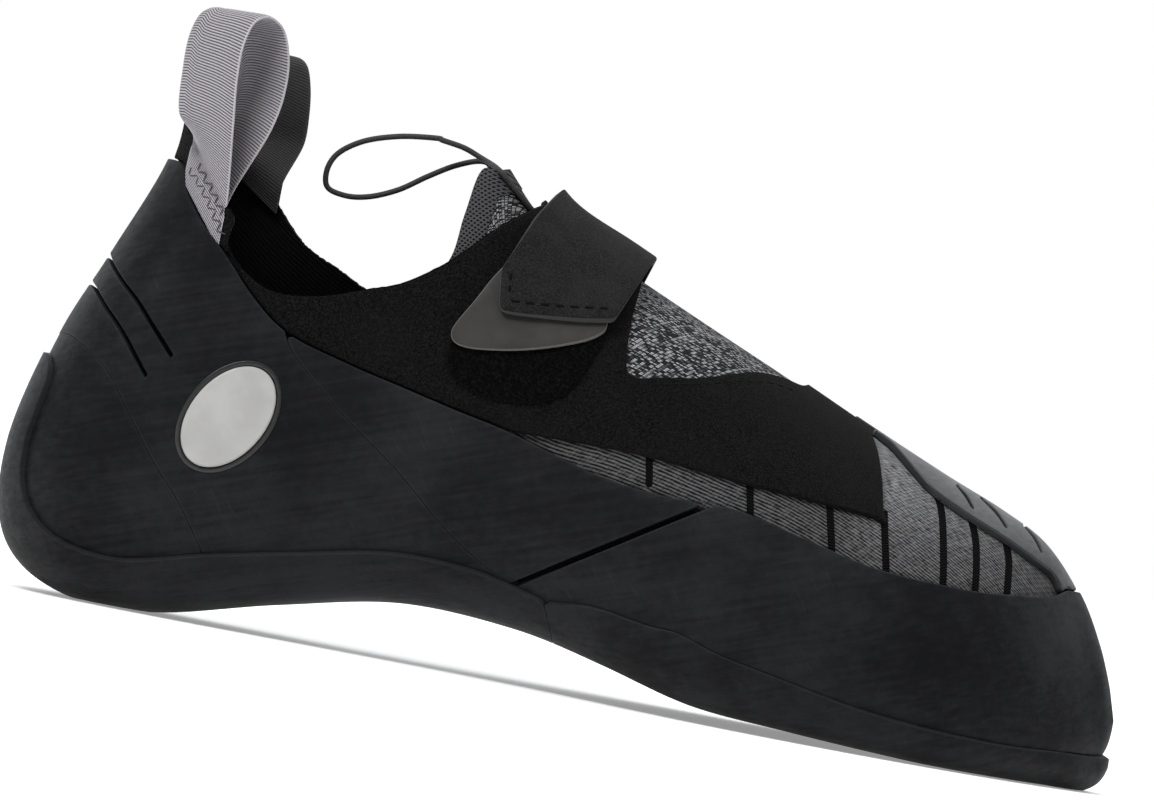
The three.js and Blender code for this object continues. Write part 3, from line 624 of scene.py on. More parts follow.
PILE_OUTLINE = [
    [70.0, 84.0], [65.0, 76.0], [63.6, 71.7], [63.8, 68.0], [66.4, 64.8], [71.3, 63.0], [80.1, 62.5],
    [86.8, 64.0], [91.9, 67.4], [95.2, 74.5], [96.9, 80.5], [90.0, 88.0],
]
PATCH_LOW = [
    [158.0, 78.0], [161.3, 72.8], [166.5, 69.6], [171.8, 65.1], [176.6, 61.4], [186.3, 56.9],
    [195.0, 53.5], [203.9, 49.4], [208.2, 47.1], [210.6, 43.6], [212.5, 38.0],
]
PATCH_GROOVES = [
    [[182.3, 63.0], [184.9, 60.8], [186.7, 58.4]],
    [[188.3, 61.3], [192.3, 58.6], [195.2, 55.6]],
    [[199.3, 57.0], [202.3, 54.4], [204.3, 51.6]],
]
KNIT_BARS = [
    [[111.2, 60.5], [111.9, 57.2], [112.8, 52.5], [113.3, 49.5]],
    [[134.5, 58.1], [134.9, 56.1], [136.7, 47.5], [137.0, 45.5]],
    [[153.1, 56.6], [153.5, 54.6], [156.0, 43.4], [156.4, 41.4]],
    [[166.3, 54.4], [166.6, 52.4], [168.8, 41.7], [169.1, 39.7]],
    [[175.9, 63.6], [176.8, 61.5], [178.5, 58.8], [179.5, 56.2], [181.2, 47.8], [182.2, 41.1], [182.4, 39]],
    [[184.9, 59.5], [186.0, 57.3], [188.1, 52.1], [189.2, 46.6], [189.8, 41.2], [189.9, 39]],
    [[194.0, 55.6], [195.1, 53.3], [196.7, 48.5], [197.1, 45.1], [197.4, 41.2], [197.5, 39]],
]
SLITS = [
    [[-24.0, 84.0], [-16.6, 77.7], [-15.2, 76.2], [-11.2, 72.3], [-6.8, 68.6], [-1.9, 63.5], [3.4, 57.8]],
    [[-26.0, 76.5], [-20.0, 71.3], [-17.6, 69.7], [-13.9, 66.0], [-10.8, 63.2], [-7.4, 59.7],
     [-4.1, 55.7], [-1.3, 52.3]],
]

rand_top = curve(RAND_TOP)
sole_edge = curve(SOLE_EDGE)
tension_seam = curve(TENSION_SEAM)
groove = curve(GROOVE)[::-1]
heel_cup_edge = curve(HEEL_CUP_EDGE)
sole_joint = curve(FRONT_SOLE_BACK)

# Gaps at the pieces' edges, and the width of the groove between side rand and front rand
HAIR = 0.03
SOLE_GAP = 0.02
GROOVE_WIDTH = 1.15


def band(line, widths):
    """A narrow outline along a line, its width running through widths."""
    line = spline(line, 0.8)
    along = np.gradient(line, axis=0)
    along /= np.linalg.norm(along, axis=1, keepdims=True)
    across = np.column_stack([-along[:, 1], along[:, 0]])
    width = np.interp(np.linspace(0, 1, len(line)), np.linspace(0, 1, len(widths)), widths)[:, None]
    return np.vstack([line + across * width / 2, (line - across * width / 2)[::-1]])


def collar_area(edge):
    line = curve(edge)
    return np.vstack([
        [-FAR, HEEL_HEIGHT], [line[0, 0], HEEL_HEIGHT], line, [line[-1, 0], FAR],
        [FAR, FAR], [FAR, -FAR], [-FAR, -FAR],
    ])


collar_lateral = collar_area(COLLAR_LATERAL)
collar_medial = collar_area(COLLAR_MEDIAL)


def below_collar(x, y, z):
    return np.where(y < 0, depth_in(collar_lateral, x, z), depth_in(collar_medial, x, z))


slit_outlines = [band(SLITS[0], [0.95, 0.85, 0.85, 0.95]), band(SLITS[1], [0.95, 0.85, 0.85, 0.8])]


def within(*parts):
    """The region inside outlines, each with its margin. A margin of None means outside of it."""
    def region(x, y, z, uv):
        return np.minimum.reduce([
            -depth_in(outline, x, z) if margin is None else depth_in(outline, x, z) - margin
            for outline, margin in parts
        ])
    return region


def under_collar(region):
    return lambda x, y, z, uv: np.minimum(region(x, y, z, uv), below_collar(x, y, z))


OVER_SOLE = (flat_side(sole_edge, FAR), SOLE_GAP)
UNDER_SOLE_EDGE = (flat_side(sole_edge, -FAR), SOLE_GAP)
UNDER_RAND_TOP = (flat_side(rand_top, -FAR), FIT / 2)
OVER_RAND_TOP = (flat_side(rand_top, FAR), FIT / 2)
BEHIND_SEAM = (upright_side(tension_seam, -FAR), HAIR)
heel_rand_region = under_collar(within(
    OVER_SOLE, (flat_side(heel_cup_edge, FAR), HAIR), BEHIND_SEAM, UNDER_RAND_TOP,
    *((slit, None) for slit in slit_outlines)))
heel_cup_region = within(OVER_SOLE, (flat_side(heel_cup_edge, -FAR), HAIR), BEHIND_SEAM)
side_rand_region = within(
    OVER_SOLE, (upright_side(tension_seam, FAR), HAIR), (upright_side(groove, -FAR), FIT / 2),
    UNDER_RAND_TOP)
front_rand_region = within(OVER_SOLE, (upright_side(groove, FAR), GROOVE_WIDTH), UNDER_RAND_TOP)
rear_sole_region = within(UNDER_SOLE_EDGE, (upright_side(sole_joint, -FAR), HAIR))
front_sole_region = within(UNDER_SOLE_EDGE, (upright_side(sole_joint, FAR), HAIR))

suede_outline = np.vstack([
    [-FAR, -FAR], [side_points(SUEDE_LOW)[0, 0], -FAR], curve(SUEDE_LOW)[:-2], spline(SUEDE_TIP)[2:],
    [SUEDE_TIP[-1][0], FAR], [-FAR, FAR],
])
window_outline = spline(WINDOW)
quarter_region = under_collar(within((suede_outline, 0), (window_outline, None), OVER_RAND_TOP))

# The patch starts this far behind the second point of its lower edge
PATCH_LEAD = 1.5
patch_low = spline(PATCH_LOW)
patch_outline = np.vstack([[patch_low[0, 0], FAR], patch_low, [FAR, patch_low[-1, 1]], [FAR, FAR]])
patch_grooves = [band(line, [0.5, 0.8, 0.6]) for line in PATCH_GROOVES]


def patch_region(x, y, z, uv):
    side = np.where(uv[..., 1] < 0, depth_in(patch_outline, x, z), FAR)
    start = x - patch_low[1, 0] + PATCH_LEAD
    cuts = within(OVER_RAND_TOP, *((line, None) for line in patch_grooves))
    return np.minimum.reduce([side, start, cuts(x, y, z, uv)])


strap_lateral = np.array(STRAP_OUTLINE)
strap_medial = side_points(STRAP_MEDIAL)


def strap_region(x, y, z, uv):
    return np.where(uv[..., 1] < 0, depth_in(strap_lateral, x, z), depth_in(strap_medial, x, z))


def lateral_region(outline):
    return lambda x, y, z, uv: np.where(uv[..., 1] < 0, depth_in(outline, x, z), -1.0)


# Where things change along the shoe, in millimetres
SOLE_THINNED = (104, 135)
TIP_CORNER = (212, 221)
# Where the toe rand is lighter: partly scuffs, partly a painted highlight along the toe's front
SCUFF_AND_HIGHLIGHT_X, SCUFF_AND_HIGHLIGHT_Z, TIP_SCUFF_AND_HIGHLIGHT_X = (204, 214), (24, 42), (218, 227)
# Lighter toe knit from LIGHT_KNIT_X on, with a painted sheen that grows between the heights given
LIGHT_KNIT_X, PAINTED_SHEEN_Z = (156, 164), (44, 64)
KNIT_SHOWS_FROM = (-81, -77)


def smooth_share(value, low, high):
    share = np.clip((value - low) / (high - low), 0, 1)
    return share * share * (3 - 2 * share)


def rubber_under(thickness, at_back=0.0, thinned_from=None, corner_fill=0.0):
    def offset(point, normal, uv):
        down = np.maximum(0, -normal[..., 2])
        if at_back:
            down = np.maximum(down, -normal[..., 0] * at_back)
        full = thickness
        if thinned_from is not None:
            full = REAR_SOLE + (thickness - REAR_SOLE) * smooth_share(point[..., 0], *thinned_from)
        corner = corner_fill * smooth_share(point[..., 0], *TIP_CORNER) * smooth_share(down, 0.3, 0.8)
        return RAND_OUTER + (full - RAND) * np.minimum(1, 2 * down) + corner
    return offset


def strap_lift(point, normal, uv):
    """The strap's inner side: over tab and pile on the lateral side, down to the suede medially."""
    values = section(uv[..., 0])
    down = smooth_share(point[..., 1], values[..., 7], values[..., 5])
    return STRAP_LIFTED + (PILE_INNER - STRAP_LIFTED) * down


def rubber_rounding(x, z):
    """Seams that are only a step in the rubber stay crisp."""
    near = np.minimum(near_line(tension_seam, x, z), near_line(heel_cup_edge, x, z))
    near = np.minimum(near, near_line(groove, x, z))
    at_sole = 0.35 + 0.65 * smooth_share(near_line(sole_edge, x, z), 1.0, 2.0)
    return np.minimum(0.3 + 0.7 * smooth_share(near, 1.2, 2.5), at_sole)


def toe_scuff_and_highlight(x, y, z):
    """The rand is lighter below the patch, and half as much at the tip: partly scuffs, partly a painted
    highlight.
    """
    below_patch = smooth_share(x, *SCUFF_AND_HIGHLIGHT_X) * smooth_share(z, *SCUFF_AND_HIGHLIGHT_Z)
    return below_patch + 0.5 * smooth_share(x, *TIP_SCUFF_AND_HIGHLIGHT_X)


PIECES = []


def finished(piece, slot, *nodes):
    PIECES.append((piece, slot, nodes))
    return piece


def dress(node, slot, *shape, **settings):
    """A shell that stands for a node."""
    return finished(shell(node + "_look", *shape, **settings), slot, node)


RUBBER_MARKS = {"scuff_and_highlight": toe_scuff_and_highlight}
dress("heel_rand", "rubber", under_chart, ((0.3, 10.6), (-0.75, 0.75)), heel_rand_region,
      OVERLAY_INNER, RAND_OUTER, 0.45, edge_step=0.5, cell=0.26, crisp=rubber_rounding)
dress("heel_cup", "rubber", under_chart, ((2.2, 10.6), (-0.6, 0.6)), heel_cup_region,
      OVERLAY_INNER, RAND_OUTER - 0.12, 0.4, crisp=rubber_rounding)
for side, reach in (("lateral", (-0.85, 0.0)), ("medial", (0.0, 0.85))):
    dress("side_rand_" + side, "rubber", under_chart, ((5.5, 13.2), reach), side_rand_region,
          OVERLAY_INNER, RAND_OUTER + 0.15, 0.5, crisp=rubber_rounding)
dress("front_rand", "rubber", toe_chart, ((9.2, 31.0), (0.0, 1.0)), front_rand_region,
      OVERLAY_INNER, RAND_OUTER, 0.5, crisp=rubber_rounding, marks=RUBBER_MARKS)
dress("outsole_rear", "rubber", under_chart, ((1.5, 11.4), (-0.5, 0.5)), rear_sole_region,
      OVERLAY_INNER, rubber_under(REAR_SOLE, 1.0), 0.22, floor=True)
dress("outsole_front", "rubber", under_chart, ((9.6, 20.0), (-0.9, 0.9)), front_sole_region,
      OVERLAY_INNER, rubber_under(FRONT_SOLE, thinned_from=SOLE_THINNED, corner_fill=1.8), 0.22,
      floor=True, marks=RUBBER_MARKS)
dress("quarter", "suede", over_chart, ((0.4, 15.0), (-0.93, 0.93)), quarter_region,
      OVERLAY_INNER, SUEDE_OUTER, 0.35)
dress("toe_patch", "rubber", over_chart, ((13.2, 19.2), (-0.9, 0.9)), patch_region,
      OVERLAY_INNER, OVERLAY_INNER + TOE_RUBBER, 0.4, step=0.8, edge_step=0.6, cell=0.35)
dress("strap", "microfibre", over_chart, ((8.6, 12.4), (-0.75, 0.85)), strap_region,
      strap_lift, lambda *a: strap_lift(*a) + STRAP, 0.5)
dress("strap_pull_tab", "tab", over_chart, ((8.6, 11.5), (-0.8, 0.0)),
      lateral_region(spline(TAB_OUTLINE)), TAB_INNER, TAB_INNER + PULL_TAB, 0.3)


def pile_relief(point, normal, uv):
    x, z = point[..., 0], point[..., 2]
    waves = [np.sin(x * a + z * b + c) for a, b, c in
             ((5.1, 2.2, 0.3), (-3.7, 4.9, 1.7), (1.3, 6.3, 2.9), (6.7, -5.2, 0.8), (9.1, 3.4, 4.0))]
    return 0.13 * sum(waves) - 0.1


dress("strap_loop_patch", "pile", over_chart, ((8.6, 11.5), (-0.85, 0.0)),
      lateral_region(spline(PILE_OUTLINE)), PILE_INNER, PILE_INNER + PILE, 0.45, step=0.45,
      edge_step=0.5, relief=pile_relief)

tongue_line = curve(TONGUE_EDGE)
tongue_outline = np.vstack([tongue_line, side_points(TONGUE_BOTTOM)])
tongue = dress("tongue", "knit", over_chart, ((7.6, 12.4), (-0.8, 0.8)), within((tongue_outline, 0)),
               -FIT - TONGUE, -FIT, 0.5, marks={"zone": lambda x, y, z: np.ones(x.shape)})


def elastic_region(x, y, z, uv):
    from_edge = near_line(tongue_line[:-3], x, z)
    return np.minimum(depth_in(tongue_outline, x, z) - 0.15, ELASTIC_WIDTH - from_edge)


tongue_elastic = finished(shell("tongue_elastic", over_chart, ((7.6, 12.0), (-0.8, 0.8)), elastic_region,
                                -FIT - 0.1, -0.02, 0.15, step=0.8), "knit")


def lay_upright(piece, fineness):
    """The tongue's rows run up it and around it."""
    n = len(piece.data.vertices)
    space = np.empty(3 * n)
    piece.data.vertices.foreach_get("co", space)
    x, y, z = space.reshape(-1, 3).T / MM
    up, across = 0.35 * x + 0.94 * z, 0.94 * x - 0.35 * z + 0.7 * np.abs(y)
    place = np.stack([up, across, np.zeros(n)], 1) * fineness
    piece.data.attributes["flat"].data.foreach_set("vector", place.astype(np.float32).ravel())


lay_upright(tongue, 1.9)
lay_upright(tongue_elastic, 1.2)


def insole_area(x, y, z, uv):
    """The footbed, a share of the sole's width, up to a share of the heel's height."""
    stations = np.arange(5.7, 17.7, 0.5)
    values = section(stations)
    half = [values[:, 6] + (values[:, k] - values[:, 6]) * 0.82 for k in (4, 5)]
    outline = np.vstack([np.column_stack([values[:, 0], half[0]]),
                         np.column_stack([values[:, 0], half[1]])[::-1]])
    return np.minimum(depth_in(outline, x, y), 0.26 * HEEL_HEIGHT - z)


dress("insole", "lining", under_chart, ((4.5, 18.6), (-0.6, 0.6)), insole_area, -FIT - INSOLE, -FIT,
      0.5, step=2.0)


def oval(length, height):
    centre = side_points([BADGE_CENTRE])[0]
    turn = np.linspace(0, 2 * math.pi, 60, endpoint=False)
    a, b = length / 2 * np.cos(turn), height / 2 * np.sin(turn)
    tilt = math.pi / 3
    return centre + np.column_stack([
        a * math.cos(tilt) - b * math.sin(tilt), a * math.sin(tilt) + b * math.cos(tilt),
    ])


badge_outline = oval(BADGE_LENGTH, BADGE_HEIGHT)


def badge_dome(point, normal, uv):
    return 0.25 * smooth_share(depth_in(badge_outline, point[..., 0], point[..., 2]), 0, 7)


dress("side_badge", "badge", over_chart, ((4.5, 8.5), (-0.95, -0.05)), lateral_region(badge_outline),
      RAND_OUTER + FIT, RAND_OUTER + FIT + BADGE, 0.45, step=0.8, edge_step=0.6, relief=badge_dome)
rim_out, rim_in = oval(BADGE_LENGTH + 2.6, BADGE_HEIGHT + 2.6), oval(BADGE_LENGTH + 0.2, BADGE_HEIGHT + 0.2)
finished(shell("side_badge_rim", over_chart, ((4.4, 8.6), (-0.95, -0.02)),
               lambda x, y, z, uv: np.where(uv[..., 1] < 0, np.minimum(
                   depth_in(rim_out, x, z), -depth_in(rim_in, x, z)), -1.0),
               RAND_OUTER + 0.02, RAND_OUTER + 0.3, 0.2, step=0.6, edge_step=0.6, cell=0.4), "rubber")

bars = [band(line, [1.6, 1.6]) for line in KNIT_BARS]
for side_name, ends in (("lateral", (-1.0, 0.0)), ("medial", (0.0, 1.0))):
    finished(shell("knit_bars_" + side_name, under_chart, ((9.5, 19.0), ends),
                   lambda x, y, z, uv: np.maximum.reduce([depth_in(bar, x, z) for bar in bars]),
                   UPPER_WALL + 0.01, UPPER_WALL + 0.16, 0.1, step=0.8, edge_step=0.6, cell=0.35), "knit")


def skins(rows, columns):
    """The quads of a grid of points, and the same for a second grid after it, turned round."""
    first = (np.arange(rows - 1)[:, None] * columns + np.arange(columns - 1)).ravel()
    quads = first[:, None] + np.array([0, 1, columns + 1, columns])
    return quads, quads[:, [0, 3, 2, 1]] + rows * columns


# The knit upper: rows around each station, open at the collar
def build_upper():
    stations = np.concatenate([
        np.arange(0.36, 3, 0.04), np.arange(3, 18, 0.08), np.arange(18, LAST + 0.001, 0.04),
    ])
    steps = np.linspace(0, 1, 160)
    fine = np.linspace(0, 1, 600)
    ends = []
    for side, area in ((-1, collar_lateral), (1, collar_medial)):
        ss, ww = np.meshgrid(stations, fine, indexing="ij")
        space = on_last(ss, ww, side)
        f = depth_in(area, space[..., 0], space[..., 2])
        first = np.argmax(f < 0, axis=1)
        end = np.where((f < 0).any(1), fine[first], 1.0)
        ends.append(end)
    a, b = ends
    q = -a[:, None] + (a + b)[:, None] * steps[None, :]
    p = np.repeat(stations[:, None], len(steps), 1)
    point, normal, _, _ = frame_at(under_chart, p, q)
    rows, columns = p.shape
    outer = (point + normal * UPPER_WALL).reshape(-1, 3)
    inner = point.reshape(-1, 3)
    n = rows * columns
    faces = np.vstack(skins(rows, columns)).tolist()
    no_opening = (a > 0.999) & (b > 0.999)
    for i in range(rows - 1):
        if not no_opening[i]:
            for j in (0, columns - 1):
                v = i * columns + j
                faces.append([v, v + columns, n + v + columns, n + v])
    for j in range(columns - 1):
        for i in (0, rows - 1):
            v = i * columns + j
            faces.append([v, v + 1, n + v + 1, n + v])
    flat = cloth_place(under_chart, p.ravel(), q.ravel(), True)
    space = np.vstack([outer, inner])
    # The toe knit is lighter, and lighter still higher up: lighter yarn with a painted sheen where light
    # falls on the top of the toe
    painted_sheen_by_height = 0.2 + 0.8 * smooth_share(space[:, 2], *PAINTED_SHEEN_Z)
    light_toe_and_sheen = smooth_share(space[:, 0], *LIGHT_KNIT_X) * painted_sheen_by_height
    zone = smooth_share(depth_in(window_outline, space[:, 0], space[:, 2]), -4.0, -2.0)
    # Knit under the rubber and at the back is painted near-black: painted shade where it shows in the
    # groove and the slits
    painted_shade_under_rubber = smooth_share(depth_in(flat_side(rand_top, -FAR), space[:n, 0], space[:n, 2]), 0.2, 1.2)
    painted_shade_under_rubber = np.maximum(painted_shade_under_rubber, smooth_share(-space[:n, 0], *KNIT_SHOWS_FROM))
    piece = add_mesh("upper_look", space, faces, {
        "flat": np.vstack([flat, flat]), "edge": np.full(2 * n, 9.0),
        "inside": np.concatenate([painted_shade_under_rubber, np.ones(n)]), "zone": zone, "light_toe_and_sheen": light_toe_and_sheen,
    })
    bm = bmesh.new()
    bm.from_mesh(piece.data)
    bmesh.ops.remove_doubles(bm, verts=bm.verts, dist=0.02 * MM)
    bmesh.ops.recalc_face_normals(bm, faces=bm.faces)
    bm.to_mesh(piece.data)
    bm.free()
    return piece


finished(build_upper(), "knit", "upper")


def surface_behind(points, side, offset):
    """The layer at offset, behind points of the side view, and its normals."""
    points = np.atleast_2d(np.asarray(points, float))
    aim = points.copy()
    for _ in range(6):
        low, high = np.zeros(len(aim)), np.full(len(aim), LAST)
        for _ in range(40):
            middle = (low + high) / 2
            values = section(middle)
            back, ridge = values[:, [0, 1]], values[:, [2, 3]]
            span, rel = ridge - back, aim - back
            in_front = span[:, 0] * rel[:, 1] - span[:, 1] * rel[:, 0] < 0
            low = np.where(in_front, middle, low)
            high = np.where(in_front, high, middle)
        values = section(low)
        back, ridge = values[:, [0, 1]], values[:, [2, 3]]
        span = ridge - back
        rise = np.sum((aim - back) * span, 1) / np.sum(span * span, 1)
        w = np.empty(len(aim))
        for k in range(len(aim)):
            i = int(round(low[k] / LAST * (GIRTH_STATIONS - 1)))
            w[k] = np.interp(np.clip(rise[k], 0, 1), GIRTH[side][1][i], np.linspace(0, 1, GIRTH_STEPS))
        point, normal, _, _ = frame_at(under_chart, low, -w if side < 0 else w)
        space = point + normal * (offset(point, normal, np.stack([low, w], -1))[:, None]
                                  if callable(offset) else offset)
        aim = aim + (points - space[:, [0, 2]]) * 0.8
    return space, normal


def ribbon(name, rows, thickness, along_step=0.21, across_steps=26, rib=0.0, width=TAPE_WIDTH):
    """A tape through rows of points, with cross ribs and rounded selvedges."""
    rows = np.asarray(rows, float)
    k = rows.shape[1]
    columns = [spline(rows[:, j], 0.1) for j in range(k)]
    middle = columns[k // 2]
    length = travelled(middle)
    share = np.linspace(0, 1, max(8, int(length[-1] / along_step)))
    lines = []
    for column in columns:
        own = travelled(column)
        lines.append(np.stack([np.interp(share * own[-1], own, column[:, c]) for c in range(3)], 1))
    grid = np.stack(lines, 1)
    across = np.linspace(0, k - 1, across_steps)
    full = np.stack([
        np.stack([np.interp(across, np.arange(k), row[:, c]) for c in range(3)], 1) for row in grid
    ])
    along = np.gradient(full, axis=0)
    wide = np.gradient(full, axis=1)
    face = np.cross(along, wide)
    face /= np.maximum(np.linalg.norm(face, axis=-1, keepdims=True), 1e-9)
    v = np.linspace(-1, 1, across_steps)
    profile = np.sqrt(np.clip(1 - np.abs(v) ** 8, 0, 1)) * 0.75 + 0.25
    travel = share * length[-1]
    ribs = rib * (np.cos(2 * math.pi * travel / RIB_PITCH)[:, None] - 1) * (np.abs(v) < 0.93)[None, :]
    half = thickness / 2 * profile[None, :] + ribs / 2
    upper, lower = full + face * half[..., None], full - face * half[..., None]
    n, m = full.shape[:2]
    count = n * m
    faces = np.vstack(skins(n, m))[:, [0, 3, 2, 1]].tolist()
    for i in range(n - 1):
        for j in (0, m - 1):
            a = i * m + j
            quad = [a, a + m, count + a + m, count + a]
            faces.append(quad[::-1] if j == 0 else quad)
    for j in range(m - 1):
        faces.append([j, j + 1, count + j + 1, count + j])
        a = (n - 1) * m + j
        faces.append([a, count + a, count + a + 1, a + 1])
    flat = np.column_stack([np.repeat(travel, m), np.tile(v * width / 2, n), np.zeros(count)])
    values = {
        "flat": np.vstack([flat, flat]),
        "edge": np.tile((1 - np.abs(v)) * width / 2, 2 * n),
        "inside": np.concatenate([np.zeros(count), np.ones(count)]),
    }
    return add_mesh(name, np.vstack([upper.reshape(-1, 3), lower.reshape(-1, 3)]), faces, values)


def pull_loop(name, side, outer, seat, height, opening, facing, lean, lifts):
    """A tape from a foot on the outside, up and over, and down behind the collar."""
    shares = np.linspace(0, 1, 9)
    foot = side_points(seat)

    def foot_row(lift, offset):
        points = foot[0] + (foot[1] - foot[0]) * shares[:, None] + np.array([0, lift])
        return surface_behind(points, side, offset)[0]

    first = foot_row(0, outer)
    turned = math.radians(facing)
    width = np.array([math.cos(turned), side * math.sin(turned), 0])
    up = np.array([lean, 0, 1])
    up /= np.linalg.norm(up)
    inward = np.array([math.sin(turned), -side * math.cos(turned), 0])
    middle = first[4].copy()
    middle[2] = first[0, 2]
    rows = [foot_row(lift, outer) for lift in lifts]
    for inside, rising in LOOP_PROFILE:
        rows.append(middle + (shares[:, None] - 0.5) * TAPE_WIDTH * width
                    + inward * inside * opening + up * rising * height)
    for lift in (lifts[-1], lifts[-1] - 6):
        rows.append(foot_row(lift, -1.2 - TAPE / 2))
    return ribbon(name, rows, TAPE, along_step=0.13, rib=0.15)


lateral_foot = OVERLAY_INNER + 2 * FIT + TAPE / 2
medial_foot = PILE_INNER + 2 * FIT + TAPE / 2
for name, slot, side, outer, shape in (
        ("pull_loop_lateral", "grey_tape", -1, lateral_foot, LATERAL_LOOP),
        ("pull_loop_medial", "black_tape", 1, medial_foot, MEDIAL_LOOP)):
    finished(pull_loop(name + "_look", side, outer, **shape), slot, name)


def tongue_loop():
    edge = np.array(LOOP_FREE)
    side = side_points(edge[:, :2])
    free = np.column_stack([side[:, 0], edge[:, 2] * BALL_WIDTH / 100, side[:, 1]])
    sewn = surface_behind(LOOP_SEWN, -1, 0.4)[0]
    under = surface_behind(LOOP_UNDER, 1, 0.4)[0]
    points = np.vstack([sewn, LOOP_RISING, free, under])
    rows = np.stack([points + np.array([0, share * 3, 0]) for share in (-0.5, 0, 0.5)], 1)
    return ribbon("tongue_loop_look", rows, 1.25, along_step=0.4, across_steps=9, width=3)


finished(tongue_loop(), "black_tape", "tongue_loop")


# Stitches: short raised threads along lines on the shoe
THREAD_SIDES = 8


def thread_mesh(name, ends, normals, radius, sink=0.35):
    """Stitches between pairs of ends, sunk into the cloth at both of them."""
    vertices, faces = [], []
    t = np.linspace(-1, 1, 9)
    turn = np.linspace(0, 2 * math.pi, THREAD_SIDES, endpoint=False)
    for (a, b), normal in zip(ends, normals):
        way = b - a
        half = np.linalg.norm(way) / 2
        way = way / (2 * half)
        normal = normal - way * np.dot(normal, way)
        normal /= np.linalg.norm(normal)
        side = np.cross(way, normal)
        start = len(vertices)
        for step in t:
            thick = radius * max(1 - abs(step) ** 4, 0.02) ** 0.5
            centre = (a + b) / 2 + way * step * half - normal * radius * sink * (1 + 1.4 * step ** 4)
            for angle in turn:
                vertices.append(centre + (side * math.cos(angle) + normal * math.sin(angle)) * thick)
        for i in range(len(t) - 1):
            ring = start + i * THREAD_SIDES
            for j in range(THREAD_SIDES):
                a, b = ring + j, ring + (j + 1) % THREAD_SIDES
                faces.append([a, b, b + THREAD_SIDES, a + THREAD_SIDES])
        last = start + (len(t) - 1) * THREAD_SIDES
        faces.append(list(range(start, start + THREAD_SIDES))[::-1])
        faces.append(list(range(last, last + THREAD_SIDES)))
    return add_mesh(name, vertices, faces)


def seam(name, line, side, offset, length=2.2, gap=0.8, radius=0.22, slot="suede", zigzag=0.0):
    """A row of stitches along a line of the side view, on the layer at offset."""
    path = spline(line, 0.3)
    travel = travelled(path)
    starts = np.arange(0, travel[-1] - length, length + gap)
    marks = np.concatenate([starts, starts + length])
    points = np.stack([np.interp(marks, travel, path[:, k]) for k in (0, 1)], 1)
    if zigzag:
        ahead = np.stack([np.interp(marks + 0.2, travel, path[:, k]) for k in (0, 1)], 1)
        along = ahead - points
        along /= np.maximum(np.linalg.norm(along, axis=1, keepdims=True), 1e-6)
        across = np.column_stack([-along[:, 1], along[:, 0]])
        n = len(starts)
        sign = np.where(np.arange(n) % 2 == 0, 1, -1)
        points[:n] += across[:n] * (sign * zigzag / 2)[:, None]
        points[n:] -= across[n:] * (sign * zigzag / 2)[:, None]
    space, normal = surface_behind(points, side, offset)
    n = len(starts)
    piece = thread_mesh(name, list(zip(space[:n], space[n:])), normal[:n], radius)
    return finished(piece, slot)


def over_strap(*values):
    return strap_lift(*values) + STRAP


window_rows = [[104.6, 71.2], [111.7, 72.5], [120.5, 74.3], [128.5, 76.5], [136.0, 77.6], [142.0, 76.9]]
for word, way in (("lateral", -1), ("medial", 1)):
    seam("window_stitches_" + word, window_rows, way, SUEDE_OUTER, 1.7, 0.7, 0.3)
seam("collar_stitches", [[56.2, 79.6], [59.7, 78.9], [63.4, 78.0]], -1, SUEDE_OUTER, 1.9, 0.9, 0.3)
seam("strap_stitches", [[75.0, 84.4], [81.7, 84.9], [88.5, 85.7], [97.5, 87.0]], -1, over_strap,
     2.5, 0.8, 0.4, "microfibre")
seam("strap_end_stitches", [[74.0, 90.6], [74.7, 84.8]], -1, over_strap, 1.9, 0.7, 0.36, "microfibre")
foot = lateral_foot + TAPE / 2
seam("loop_zigzag_low", [[-1.6, 99.9], [2.2, 96.3], [7.3, 89.5], [9.2, 86.4]], -1, foot, 1.3, 0.15, 0.17,
     "grey_tape", 1.6)
seam("loop_zigzag_high", [[0.3, 101.2], [4.8, 95.9], [8.9, 90.4]], -1, foot, 1.3, 0.15, 0.17,
     "grey_tape", 1.6)


# Finishes
def add_node(tree, kind, inputs=None, **settings):
    """The outputs of a new shader node, its inputs linked or set."""
    node = tree.nodes.new("ShaderNode" + kind)
    for key, value in settings.items():
        setattr(node, key, value)
    for key, value in (inputs or {}).items():
        if isinstance(value, bpy.types.NodeSocket):
            tree.links.new(value, node.inputs[key])
        else:
            node.inputs[key].default_value = value
    return node.outputs


def ramp(tree, value, low, high, to_low, to_high):
    """A value that runs smoothly from to_low, at low, to to_high."""
    return add_node(tree, "MapRange", {
        "Value": value, "From Min": low, "From Max": high, "To Min": to_low, "To Max": to_high,
    }, interpolation_type="SMOOTHSTEP")[0]


